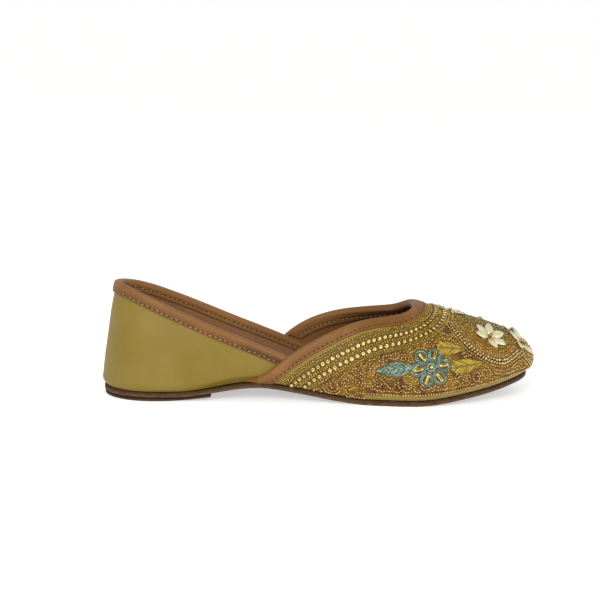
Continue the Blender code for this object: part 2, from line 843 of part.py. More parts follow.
def build_quarter_binding(material):
    """Build the binding folded over the quarter's topline."""
    edge = Edge(quarter_turns(), QUARTER_EDGE)
    sections = []
    for k, turn in enumerate(edge.turns):
        crossing = CROSSING[side_of(turn)]
        behind = QUARTER_LINE.length_at(crossing.turn) - QUARTER_LINE.length_at(turn)
        depth = tuck(edge.points[k].x)
        outer = crossing.leaf_width(crossing.side * behind, QUARTER_BAND_WIDTH)
        height = edge.points[k].z - sole_top(edge.points[k].x) - INSOLE_THICKNESS - 4 * GAP
        inner = min(QUARTER_FACING_WIDTH, max(height, 0.0) * LEAF_SHARE_OF_WALL)
        sections.append(band_section(outer, inner, -depth, -depth - QUARTER_WALL))
    return build_band(edge, sections, "quarter_binding", material)


def build_vamp_binding(material):
    """Build the binding folded over the vamp's throat and down its wings."""
    edge = Edge(throat_turns(1) + throat_turns(-1)[-2::-1], VAMP_EDGE)
    sections = []
    for k, turn in enumerate(edge.turns):
        side = side_of(turn)
        line = VAMP_LINE[side]
        ahead = line.length_at(turn) - line.length_at(CROSSING[side].turn)
        height = edge.points[k].z - skin(turn, 0).z
        outer_width = min(VAMP_BAND_WIDTH, height * LEAF_SHARE_OF_WALL)
        inner_width = CROSSING[side].leaf_width(ahead, VAMP_FACING_WIDTH)
        sections.append(band_section(outer_width, inner_width, 0.0, -VAMP_WALL))
    return build_band(edge, sections, "vamp_binding", material)


def centre_on_floor(pieces):
    """Move every mesh so that the origin is under the middle of the shoe."""
    corners = [vertex.co for piece in pieces for vertex in piece.data.vertices]
    low = Vector([min(corner[axis] for corner in corners) for axis in range(3)])
    high = Vector([max(corner[axis] for corner in corners) for axis in range(3)])
    shift = Vector((-(low.x + high.x) / 2, -(low.y + high.y) / 2, -low.z))
    for piece in pieces:
        for vertex in piece.data.vertices:
            vertex.co += shift


def build_shoe():
    """Build every piece of the shoe, from the floor upwards."""
    for leftover in list(bpy.data.objects):
        bpy.data.objects.remove(leftover)
    sole_leather = skin_material("sole_leather", (0.070, 0.035, 0.010), 0.62)
    lift_leather = skin_material("lift_leather", (0.067, 0.033, 0.012), 0.70)
    lining_leather = skin_material("lining_leather", (0.160, 0.070, 0.025), 0.60)
    quarter_leather = skin_material("quarter_leather", (0.300, 0.210, 0.050), 0.55)
    vamp_cloth = skin_material("vamp_cloth", (0.243, 0.128, 0.025), 0.75)
    binding_leather = skin_material("binding_leather", (0.240, 0.115, 0.042), 0.55)
    pieces = [
        build_heel_lift(lift_leather),
        build_outsole(sole_leather),
        build_insole(lining_leather),
        build_quarter(quarter_leather),
        build_vamp(vamp_cloth),
        build_quarter_binding(binding_leather),
        build_vamp_binding(binding_leather),
    ]
    centre_on_floor(pieces)


build_shoe()
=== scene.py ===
"""Looks of the embroidered flat shoe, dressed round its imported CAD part.

Lengths are in metres. +X points to the toe, +Y to the inner side of the foot and
+Z up, as in the CAD part. Every curved piece lies on one last, and a place on the
last has two numbers: turn runs round the sole's edge, from 0 at the back of the
heel to 1 or -1 at the tip of the toe (positive on the inner side), and climb runs
from 0 at the sole's edge to 1 on the ridge line over the foot.
"""

import json
import logging
import math
from dataclasses import dataclass, field
from enum import Enum
from typing import Callable, NamedTuple

import bmesh
import bpy
import numpy as np
from mathutils import Matrix, Vector
from mathutils.bvhtree import BVHTree

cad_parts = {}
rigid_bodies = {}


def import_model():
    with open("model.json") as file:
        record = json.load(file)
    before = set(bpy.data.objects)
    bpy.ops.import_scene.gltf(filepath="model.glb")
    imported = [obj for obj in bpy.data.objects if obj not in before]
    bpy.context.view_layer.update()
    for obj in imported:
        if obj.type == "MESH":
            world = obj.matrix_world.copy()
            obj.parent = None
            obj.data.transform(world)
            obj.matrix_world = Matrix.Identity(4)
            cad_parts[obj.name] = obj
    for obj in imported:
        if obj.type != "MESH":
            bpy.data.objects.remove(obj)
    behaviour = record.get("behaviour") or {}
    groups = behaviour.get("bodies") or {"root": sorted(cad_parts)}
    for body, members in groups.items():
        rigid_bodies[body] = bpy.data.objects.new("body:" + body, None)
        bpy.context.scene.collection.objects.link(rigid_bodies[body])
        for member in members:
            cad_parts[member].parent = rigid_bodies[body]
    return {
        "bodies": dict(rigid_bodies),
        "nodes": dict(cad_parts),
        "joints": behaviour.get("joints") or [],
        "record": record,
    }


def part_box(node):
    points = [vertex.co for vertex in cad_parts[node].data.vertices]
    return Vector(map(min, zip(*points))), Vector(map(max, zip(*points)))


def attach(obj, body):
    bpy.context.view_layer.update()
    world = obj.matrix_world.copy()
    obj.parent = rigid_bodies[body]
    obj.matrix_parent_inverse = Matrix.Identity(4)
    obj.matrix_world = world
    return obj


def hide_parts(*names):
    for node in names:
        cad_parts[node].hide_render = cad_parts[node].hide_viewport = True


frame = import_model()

Array = np.ndarray
Colour = tuple[float, float, float]
log = logging.getLogger("flat_shoe")

BODY = "root"
STRIP_SPACING = 0.00036
LEAST_LEAF = 0.0002


# The last

class PlanRow(NamedTuple):
    """Width of the sole at a share of its length, and how it divides."""

    along: float
    width: float
    outer_share: float
    inner_share: float


class UnderRow(NamedTuple):
    """Height of the outsole's underside at a share of its length."""

    along: float
    height: float
    share: float


class SectionRow(NamedTuple):
    """One cross section of the last."""

    along: float
    height: float
    share: float
    belly: float
    belly_rise: float
    shoulder: float


class EdgeRow(NamedTuple):
    """Height of a finished topline in the side view."""

    along: float
    height: float
    outer: float
    inner: float


HEEL_SEAT_WIDTH = 0.0570
WAIST_WIDTH = 0.0535
BALL_WIDTH = 0.0800
LIFT_THICKNESS = 0.0021
ARCH_HEIGHT = 0.0076
TOE_SPRING = 0.0102
BACK_HEIGHT = 0.0655
INSTEP_HEIGHT = 0.0534
TOE_BOX_HEIGHT = 0.0421

PLAN = (
    PlanRow(0.00, HEEL_SEAT_WIDTH, 0.500, 0.500),
    PlanRow(0.16, HEEL_SEAT_WIDTH, 0.500, 0.500),
    PlanRow(0.40, WAIST_WIDTH, 0.530, 0.470),
    PlanRow(0.56, BALL_WIDTH, 0.435, 0.395),
    PlanRow(0.69, BALL_WIDTH, 0.515, 0.485),
    PlanRow(0.82, BALL_WIDTH, 0.500, 0.490),
    PlanRow(1.00, BALL_WIDTH, 0.420, 0.440),
)
UNDERSIDE = (
    UnderRow(0.00, LIFT_THICKNESS, 1.00),
    UnderRow(0.17, LIFT_THICKNESS, 1.00),
    UnderRow(0.36, ARCH_HEIGHT, 1.00),
    UnderRow(0.46, ARCH_HEIGHT, 0.60),
    UnderRow(0.54, ARCH_HEIGHT, 0.19),
    UnderRow(0.61, ARCH_HEIGHT, 0.00),
    UnderRow(0.71, TOE_SPRING, 0.00),
    UnderRow(0.85, TOE_SPRING, 0.36),
    UnderRow(1.00, TOE_SPRING, 1.00),
)
SECTIONS = (
    SectionRow(0.00, BACK_HEIGHT, 1.56, 0.97, 0.34, 0.58),
    SectionRow(0.15, BACK_HEIGHT, 1.53, 1.06, 0.34, 0.64),
    SectionRow(0.30, BACK_HEIGHT, 1.41, 1.20, 0.34, 0.74),
    SectionRow(0.42, BACK_HEIGHT, 1.23, 1.26, 0.36, 0.66),
    SectionRow(0.55, INSTEP_HEIGHT, 1.225, 1.26, 0.36, 0.60),
    SectionRow(0.66, INSTEP_HEIGHT, 1.075, 1.24, 0.38, 0.62),
    SectionRow(0.785, INSTEP_HEIGHT, 0.985, 1.20, 0.40, 0.72),
    SectionRow(0.90, TOE_BOX_HEIGHT, 1.125, 1.20, 0.42, 0.80),
    SectionRow(1.00, TOE_BOX_HEIGHT, 1.00, 1.34, 0.42, 0.90),
)


class Topline(Enum):
    """The two cut edges of the upper, each with its height along the sole."""

    QUARTER = (
        EdgeRow(0.000, BACK_HEIGHT, 0.998, 0.998),
        EdgeRow(0.035, BACK_HEIGHT, 0.985, 0.985),
        EdgeRow(0.066, BACK_HEIGHT, 0.956, 0.958),
        EdgeRow(0.127, BACK_HEIGHT, 0.866, 0.880),
        EdgeRow(0.220, BACK_HEIGHT, 0.710, 0.746),
        EdgeRow(0.314, BACK_HEIGHT, 0.567, 0.611),
        EdgeRow(0.421, BACK_HEIGHT, 0.405, 0.447),
        EdgeRow(0.500, BACK_HEIGHT, 0.262, 0.298),
        EdgeRow(0.581, BACK_HEIGHT, 0.068, 0.090),
        EdgeRow(0.622, BACK_HEIGHT, -0.045, -0.030),
    )
    VAMP = (
        EdgeRow(0.280, INSTEP_HEIGHT, 0.140, 0.160),
        EdgeRow(0.327, INSTEP_HEIGHT, 0.190, 0.215),
        EdgeRow(0.354, INSTEP_HEIGHT, 0.232, 0.262),
        EdgeRow(0.378, INSTEP_HEIGHT, 0.300, 0.340),
        EdgeRow(0.405, INSTEP_HEIGHT, 0.405, 0.455),
        EdgeRow(0.428, INSTEP_HEIGHT, 0.493, 0.555),
        EdgeRow(0.476, INSTEP_HEIGHT, 0.641, 0.707),
        EdgeRow(0.525, INSTEP_HEIGHT, 0.755, 0.798),
        EdgeRow(0.574, INSTEP_HEIGHT, 0.842, 0.848),
        EdgeRow(0.623, INSTEP_HEIGHT, 0.886, 0.872),
        EdgeRow(0.663, INSTEP_HEIGHT, 0.905, 0.888),
        EdgeRow(0.696, INSTEP_HEIGHT, 0.930, 0.917),
        EdgeRow(0.716, INSTEP_HEIGHT, 0.971, 0.971),
        EdgeRow(0.724, INSTEP_HEIGHT, 1.000, 1.000),
        EdgeRow(0.745, INSTEP_HEIGHT, 1.120, 1.120),
    )


def ease(value: Array) -> Array:
    """Ease from 0 to 1 as value goes from 0 to 1."""
    value = np.clip(value, 0.0, 1.0)
    return value * value * (3 - 2 * value)


def soft_least(first: Array, second: Array, blend: float) -> Array:
    """Return the lesser of two values, rounded off where they meet."""
    return -blend * np.logaddexp(-np.asarray(first) / blend, -np.asarray(second) / blend)


def unit(vectors: Array) -> Array:
    """Bring vectors to length one."""
    length = np.linalg.norm(vectors, axis=-1, keepdims=True)
    return vectors / np.maximum(length, 1e-12)


def dot(first: Array, second: Array) -> Array:
    """Return the dot product of each pair of vectors."""
    return (first * second).sum(-1)


def run_lengths(points: Array) -> Array:
    """Return the length along a line of points up to each of them."""
    steps = np.linalg.norm(np.diff(points, axis=0), axis=1)
    return np.concatenate([[0.0], np.cumsum(steps)])


def row_before(places: Array, place: Array) -> tuple[Array, Array]:
    """Return places held to a table's ends, and the row that each one follows."""
    place = np.clip(place, places[0], places[-1])
    row = np.searchsorted(places, place, side="right") - 1
    return place, np.clip(row, 0, len(places) - 2)


class NaturalLine:
    """Natural cubic spline through a table's rows."""

    def __init__(self, places: list[float], values: list[float]) -> None:
        """Work out the spline's bends.

        Args:
            places: where the rows lie, rising.
            values: the value at each row.
        """
        self.places = np.array(places, float)
        self.values = np.array(values, float)
        count = len(places)
        spans = np.diff(self.places)
        rises = np.diff(self.values) / spans
        system = np.eye(count)
        target = np.zeros(count)
        for row in range(1, count - 1):
            system[row, row - 1] = spans[row - 1]
            system[row, row] = 2 * (spans[row - 1] + spans[row])
            system[row, row + 1] = spans[row]
            target[row] = 6 * (rises[row] - rises[row - 1])
        self.bends = np.linalg.solve(system, target)

    def __call__(self, place: Array) -> Array:
        """Return the line's value at each place."""
        place, k = row_before(self.places, place)
        span = self.places[k + 1] - self.places[k]
        ahead = self.places[k + 1] - place
        behind = place - self.places[k]
        return (
            (self.bends[k] * ahead**3 + self.bends[k + 1] * behind**3) / (6 * span)
            + (self.values[k] / span - self.bends[k] * span / 6) * ahead
            + (self.values[k + 1] / span - self.bends[k + 1] * span / 6) * behind
        )


class LevelLine:
    """Smooth line through a table's rows that never overshoots them."""

    def __init__(self, places: list[float], values: list[float]) -> None:
        """Work out the slope at each row.

        Args:
            places: where the rows lie, rising.
            values: the value at each row.
        """
        self.places = np.array(places, float)
        self.values = np.array(values, float)
        spans = np.diff(self.places)
        rises = np.diff(self.values) / spans
        self.slopes = np.zeros(len(places))
        self.slopes[0] = rises[0]
        self.slopes[-1] = rises[-1]
        for i in range(1, len(places) - 1):
            if rises[i - 1] * rises[i] > 0:
                first = 2 * spans[i] + spans[i - 1]
                second = spans[i] + 2 * spans[i - 1]
                self.slopes[i] = (first + second) / (first / rises[i - 1] + second / rises[i])

    def __call__(self, place: Array) -> Array:
        """Return the line's value at each place."""
        place, k = row_before(self.places, place)
        span = self.places[k + 1] - self.places[k]
        part = (place - self.places[k]) / span
        return (
            (1 + 2 * part) * (1 - part) ** 2 * self.values[k]
            + part * (1 - part) ** 2 * span * self.slopes[k]
            + part * part * (3 - 2 * part) * self.values[k + 1]
            + part * part * (part - 1) * span * self.slopes[k + 1]
        )


def scaled(rows: tuple, name: str, kind: type) -> NaturalLine | LevelLine:
    """Return the line of a column whose shares follow each row's named height.

    Args:
        rows: the table.
        name: the column.
        kind: the class of line.

    Returns:
        The line over the share of the sole's length.
    """
    return kind([row.along for row in rows], [row.height * getattr(row, name) for row in rows])


@dataclass
class LastForm:
    """The last that every piece of the shoe is cut from."""

    heel_end: float
    middle_y: float
    sole_length: float = 0.2460
    heel_round_length: float = 0.0300
    toe_round_length: float = 0.0720
    toe_swing: float = 0.0030
    sole_thickness: float = 0.0030
    lift_length: float = 0.0620
    lift_inset: float = 0.0004
    lift_scoop: float = 0.0022
    lift_scoop_length: float = 0.0300
    feather_inset: float = 0.0010
    undercut: float = 0.0022
    undercut_height: float = 0.0060
    quarter_wall: float = 0.0018
    vamp_wall: float = 0.0020
    insole_thickness: float = 0.0024
    insole_ease: float = 0.0200
    gap: float = 0.0003
    cover_gap: float = 0.0005
    binding_leather: float = 0.0009
    wing_end_height: float = 0.0012
    tuck_length: float = 0.0380
    tuck_lead: float = 0.0040
    spine_back: float = 0.116
    spine_front: float = 0.886
    step: float = 0.002

    def __post_init__(self) -> None:
        """Draw the lines of the tables and find where the two walls end."""
        places = [row.along for row in PLAN]
        self.outer_width = NaturalLine(places, [row.width * row.outer_share for row in PLAN])
        self.inner_width = NaturalLine(places, [row.width * row.inner_share for row in PLAN])
        self.under_line = scaled(UNDERSIDE, "share", LevelLine)
        self.ridge_line = scaled(SECTIONS, "share", NaturalLine)
        places = [row.along for row in SECTIONS]
        self.belly = NaturalLine(places, [row.belly for row in SECTIONS])
        self.belly_rise = NaturalLine(places, [row.belly_rise for row in SECTIONS])
        self.shoulder = NaturalLine(places, [row.shoulder for row in SECTIONS])
        self.edges = {
            which: {
                -1: scaled(which.value, "outer", NaturalLine),
                1: scaled(which.value, "inner", NaturalLine),
            }
            for which in Topline
        }
        vamp_middle = self.turn_of(0.50)
        quarter_middle = self.turn_of(0.40)
        self.throat_tip = self.find_turn(
            lambda turns: self.edge_climb(turns, Topline.VAMP) < 1, vamp_middle, self.turn_of(0.95)
        )
        self.vamp_end = {}
        self.quarter_end = {}
        self.crossing = {}
        for side in (-1, 1):
            self.vamp_end[side] = self.wing_end(Topline.VAMP, side, vamp_middle, self.turn_of(0.15))
            self.quarter_end[side] = self.wing_end(
                Topline.QUARTER, side, quarter_middle, self.turn_of(0.75)
            )
        ends = [float(self.skin(self.vamp_end[side], 0.0)[0]) for side in (-1, 1)]
        self.full_tuck_x = min(ends) - self.tuck_lead
        for side in (-1, 1):
            self.crossing[side] = side * self.find_turn(
                lambda turns: self.edge_climb(side * turns, Topline.QUARTER)
                > self.edge_climb(side * turns, Topline.VAMP),
                abs(self.vamp_end[side]),
                abs(self.quarter_end[side]),
            )

    def along_of(self, x: Array) -> Array:
        """Return how far x lies along the sole, from 0 at the heel to 1 at the toe."""
        return (x - self.heel_end) / self.sole_length

    @staticmethod
    def wrap(turn: Array) -> Array:
        """Bring a turn past the toe round to the other side."""
        return (np.asarray(turn, float) + 1) % 2 - 1

    def share_of(self, turn: Array) -> Array:
        """Return how far along the sole a turn lies, close together at both ends."""
        return (1 - np.cos(math.pi * np.abs(self.wrap(turn)))) / 2

    @staticmethod
    def turn_of(share: float) -> float:
        """Return the turn on the inner side at a share of the sole's length."""
        return math.acos(1 - 2 * share) / math.pi

    def centre_y(self, share: Array) -> Array:
        """Return the sole's middle line, which swings inwards to the toe."""
        return self.middle_y + self.toe_swing * ease((share - 0.45) / 0.55)

    def plan_point(self, turn: Array) -> Array:
        """Return the sole's edge, seen from above."""
        share = self.share_of(turn)
        inner = self.wrap(turn) >= 0
        from_heel = share * self.sole_length
        from_toe = self.sole_length - from_heel
        heel_part = 1 - np.minimum(from_heel / self.heel_round_length, 1.0)
        toe_part = 1 - np.minimum(from_toe / self.toe_round_length, 1.0)
        rounding = np.sqrt(1 - heel_part**2) * np.sqrt(1 - toe_part**2.1)
        half = np.where(inner, self.inner_width(share), self.outer_width(share)) * rounding
        y = self.centre_y(share) + np.where(inner, half, -half)
        return np.stack([self.heel_end + self.sole_length * share, y], -1)

    def sole_edge(self, turn: Array, grow: Array | float = 0.0) -> Array:
        """Return the sole's edge moved outwards by grow."""
        run = self.plan_point(turn + self.step) - self.plan_point(turn - self.step)
        out = unit(np.stack([-run[..., 1], run[..., 0]], -1))
        return self.plan_point(turn) + out * np.asarray(grow)[..., None]

    def underside(self, x: Array) -> Array:
        """Return the height of the outsole's underside."""
        return self.under_line(self.along_of(x))

    def sole_top(self, x: Array) -> Array:
        """Return the height of the outsole's upper face."""
        return self.underside(x) + self.sole_thickness

    def spine_x(self, share: Array) -> Array:
        """Return where the ridge line lies for a share of the sole's length."""
        back = self.heel_end + self.spine_back * self.sole_length
        front = self.heel_end + self.spine_front * self.sole_length
        return back + (front - back) * share

    def ridge_slope(self, share: Array) -> Array:
        """Return the ridge line's slope over the forefoot."""
        low = np.clip(share - 0.01, 0.0, 1.0)
        high = np.clip(share + 0.01, 0.0, 1.0)
        slope = (self.ridge_line(high) - self.ridge_line(low)) / (
            self.spine_x(high) - self.spine_x(low)
        )
        return np.where(share < 0.5, 0.0, slope)

    def skin(self, turn: Array, climb: Array) -> Array:
        """Return a point on the last; a climb over 1 comes down the other side.

        Args:
            turn: the way round the sole's edge.
            climb: the way up to the ridge.

        Returns:
            Points, with x, y and z in the last axis.
        """
        turn, climb = np.broadcast_arrays(np.asarray(turn, float), np.asarray(climb, float))
        beyond = climb > 1
        turn = np.where(beyond, -turn, turn)
        climb = np.where(beyond, 2 - climb, climb)
        share = self.share_of(turn)
        foot = self.sole_edge(turn, np.full(turn.shape, -self.feather_inset))
        foot_z = self.sole_top(foot[..., 0]) + self.gap
        ridge_z = self.ridge_line(share)
        ridge = np.stack([self.spine_x(share), self.centre_y(share)], -1)
        run = foot - ridge
        shoulder = self.shoulder(share)
        belly_z = foot_z + self.belly_rise(share) * (ridge_z - foot_z)
        shoulder_z = ridge_z + self.ridge_slope(share) * run[..., 0] * shoulder
        down = 1 - climb
        first, second = down**3, 3 * climb * down**2
        third, fourth = 3 * climb**2 * down, climb**3
        reach = first + second * self.belly(share) + third * shoulder
        z = first * foot_z + second * belly_z + third * shoulder_z + fourth * ridge_z
        low = np.clip((z - foot_z) / self.undercut_height, 0.0, 1.0)
        length = np.linalg.norm(run, axis=-1)
        reach = reach + self.undercut / length * (1 - (1 - low) ** 2.5) * down**2
        place = ridge + run * reach[..., None]
        return np.concatenate([place, z[..., None]], -1)

    def slopes(self, turn: Array, climb: Array) -> tuple[Array, Array]:
        """Return how points of the last move with turn and with climb."""
        low = np.maximum(climb - self.step, 0.0)
        high = climb + self.step
        by_turn = (self.skin(turn + self.step, climb) - self.skin(turn - self.step, climb)) / (
            2 * self.step
        )
        by_climb = (self.skin(turn, high) - self.skin(turn, low)) / (high - low)[..., None]
        return by_turn, by_climb

    def normal(self, turn: Array, climb: Array) -> Array:
        """Return the outward direction of the last."""
        turn, climb = np.broadcast_arrays(np.asarray(turn, float), np.asarray(climb, float))
        by_turn, by_climb = self.slopes(turn, np.minimum(climb, 1.0))
        flip = np.where(climb > 1, -1.0, 1.0)[..., None]
        direction = unit(np.cross(by_climb, by_turn))
        other = self.slopes(-turn, np.clip(2 - climb, 0.0, 1.0))
        mirrored = unit(np.cross(other[1], other[0]))
        return np.where(flip < 0, mirrored, direction)

    def wall_point(self, turn: Array, climb: Array, out: Array | float) -> Array:
        """Return a point off the last; the lowest row stays on the outsole.

        Args:
            turn: the way round the sole's edge.
            climb: the way up to the ridge.
            out: distance from the last, outwards.

        Returns:
            Points in the shoe's frame.
        """
        turn, climb = np.broadcast_arrays(np.asarray(turn, float), np.asarray(climb, float))
        out = np.broadcast_to(np.asarray(out, float), turn.shape)[..., None]
        normal = self.normal(turn, climb)
        point = self.skin(turn, climb) + normal * out
        level = unit(normal * np.array([1.0, 1.0, 0.0]))
        low = self.skin(turn, np.zeros(turn.shape)) + level * out
        low[..., 2] = self.sole_top(low[..., 0]) + self.gap
        return np.where((climb > 0)[..., None], point, low)

    def edge_height(self, which: Topline, turn: Array, x: Array) -> Array:
        """Return a finished topline's height over x on the side of a turn."""
        along = self.along_of(x)
        inner = self.wrap(turn) >= 0
        return np.where(inner, self.edges[which][1](along), self.edges[which][-1](along))

    def edge_climb(self, turn: Array, which: Topline) -> Array:
        """Return the climb at which a wall meets its cut edge, 1 where it has none."""
        turn = np.asarray(turn, float)
        drop = self.gap + self.binding_leather

        def over(climb: Array) -> Array:
            point = self.skin(turn, climb)
            return point[..., 2] - self.edge_height(which, turn, point[..., 0]) + drop

        low = np.zeros(turn.shape)
        high = np.ones(turn.shape)
        found = np.zeros(turn.shape, bool)
        for k in range(1, 61):
            climb = np.full(turn.shape, k / 60)
            above = (over(climb) > 0) & ~found
            high = np.where(above, climb, high)
            found |= above
            low = np.where(found, low, climb)
        for _ in range(30):
            middle = (low + high) / 2
            above = over(middle) > 0
            high = np.where(above, middle, high)
            low = np.where(above, low, middle)
        return np.where(found, (low + high) / 2, 1.0)

    def find_turn(self, test: Callable[[Array], Array], low: float, high: float) -> float:
        """Return the turn between low and high where a test changes from true to false."""
        for _ in range(3):
            turns = np.linspace(low, high, 65)
            k = max(int(np.argmin(test(turns))), 1)
            low, high = float(turns[k - 1]), float(turns[k])
        return (low + high) / 2

    def wing_end(self, which: Topline, side: int, middle: float, end: float) -> float:
        """Return the turn where a wall's edge has come down to its last low step."""

        def stands(turns: Array) -> Array:
            climbs = self.edge_climb(side * turns, which)
            low = np.zeros(turns.shape)
            height = self.skin(side * turns, climbs)[:, 2] - self.skin(side * turns, low)[:, 2]
            return height > self.wing_end_height

        return side * self.find_turn(stands, middle, end)

    def tuck(self, x: Array) -> Array:
        """Return how deep the quarter lies under the last, where the vamp covers it."""
        part = (x - self.full_tuck_x + self.tuck_length) / self.tuck_length
        return (self.vamp_wall + self.cover_gap) * ease(part)

    def walk(self, turn: Array, climb: Array, aim: Array, rounds: int = 4) -> tuple[Array, Array]:
        """Return the places on the last that lie nearest to points in space.

        Args:
            turn: turns to start from.
            climb: climbs to start from.
            aim: the points in space.
            rounds: steps of the search.

        Returns:
            Turns and climbs.
        """
        for _ in range(rounds):
            miss = aim - self.skin(turn, climb)
            by_turn, by_climb = self.slopes(turn, climb)
            a, b, c = dot(by_turn, by_turn), dot(by_turn, by_climb), dot(by_climb, by_climb)
            p, q = dot(miss, by_turn), dot(miss, by_climb)
            scale = np.maximum(a * c - b * b, 1e-16)
            turn = turn + (p * c - q * b) / scale
            climb = np.maximum(climb + (q * a - p * b) / scale, 0.0)
        return turn, climb

    def edge_turns(self, which: Topline, first: float, last: float, spacing: float) -> Array:
        """Return turns a like length apart along a cut edge.

        Args:
            which: the topline.
            first: the first turn.
            last: the last turn.
            spacing: about the length between two turns.

        Returns:
            The turns, from first to last.
        """
        turns = np.linspace(first, last, 481)
        points = self.skin(turns, self.edge_climb(turns, which))
        lengths = run_lengths(points)
        count = max(int(round(lengths[-1] / spacing)), 2)
        return np.interp(np.linspace(0, lengths[-1], count + 1), lengths, turns)


class EdgeField:
    """A cut edge and the wall below it, in columns a like length apart."""

    def __init__(self, form: LastForm, which: Topline, turns: Array, reach: float) -> None:
        """Walk from the edge into the wall, column by column.

        Args:
            form: the last.
            which: the topline.
            turns: the turns of the columns.
            reach: how far the columns go into the wall.
        """
        self.turns = turns
        self.stride = 0.0005
        climbs = form.edge_climb(turns, which)
        point = form.skin(turns, climbs)
        run = np.gradient(point, axis=0)
        normal = form.normal(turns, climbs)
        heading = unit(np.cross(normal, run))
        self.inward = heading
        self.lengths = run_lengths(point)
        points, normals, levels = [point], [normal], [climbs]
        turn, climb = turns.copy(), climbs.copy()
        for _ in range(int(round(reach / self.stride))):
            turn, climb = form.walk(turn, climb, point + heading * self.stride, rounds=2)
            after = form.skin(turn, climb)
            normal = form.normal(turn, climb)
            moved = after - point
            moving = np.linalg.norm(moved, axis=1, keepdims=True) > self.stride / 4
            heading = np.where(moving, unit(moved), heading)
            heading = unit(heading - normal * dot(heading, normal)[:, None])
            point = after
            points.append(point)
            normals.append(normal)
            levels.append(climb)
        self.points = np.stack(points, 1)
        self.normals = np.stack(normals, 1)
        self.levels = np.stack(levels, 1)

    def between(self, table: Array, column: Array, width: Array) -> Array:
        """Read a table of the field between its steps.

        Args:
            table: points, normals or levels.
            column: the numbers of the columns, whole or not.
            width: distances into the wall.

        Returns:
            The values, in the shape of column.
        """
        place = np.clip(width / self.stride, 0, table.shape[1] - 1.001)
        step = place.astype(int)
        part = place - step
        column = np.clip(column, 0, len(table) - 1.001)
        low = column.astype(int)
        share = column - low
        if table.ndim == 3:
            part, share = part[..., None], share[..., None]
        near = table[low, step] * (1 - part) + table[low, step + 1] * part
        far = table[low + 1, step] * (1 - part) + table[low + 1, step + 1] * part
        return near * (1 - share) + far * share

    def place(self, column: Array, width: Array, out: Array) -> tuple[Array, Array]:
        """Return points and normals at widths into the wall and out from the last."""
        column, width, out = np.broadcast_arrays(
            np.asarray(column, float), np.asarray(width, float), np.asarray(out, float)
        )
        point = self.between(self.points, column, width)
        normal = unit(self.between(self.normals, column, width))
        low = np.clip(column, 0, len(self.turns) - 1.001).astype(int)
        above = np.minimum(width, 0.0)[..., None]
        return point + self.inward[low] * above + normal * out[..., None], normal

    def reach(self, table: Array) -> Array:
        """Return how far each column runs before a table's value falls below zero."""
        last = table.shape[1] - 1
        below = table < 0
        after = np.clip(np.where(below.any(1), below.argmax(1), last), 1, last)
        each = np.arange(len(after))
        high, low = table[each, after - 1], table[each, after]
        part = np.clip(high / np.maximum(high - low, 1e-9), 0, 1)
        return (after - 1 + part) * self.stride

    def column_at(self, length: Array) -> Array:
        """Return the column at a length along the edge."""
        return np.interp(length, self.lengths, np.arange(len(self.lengths)))


# Finishes

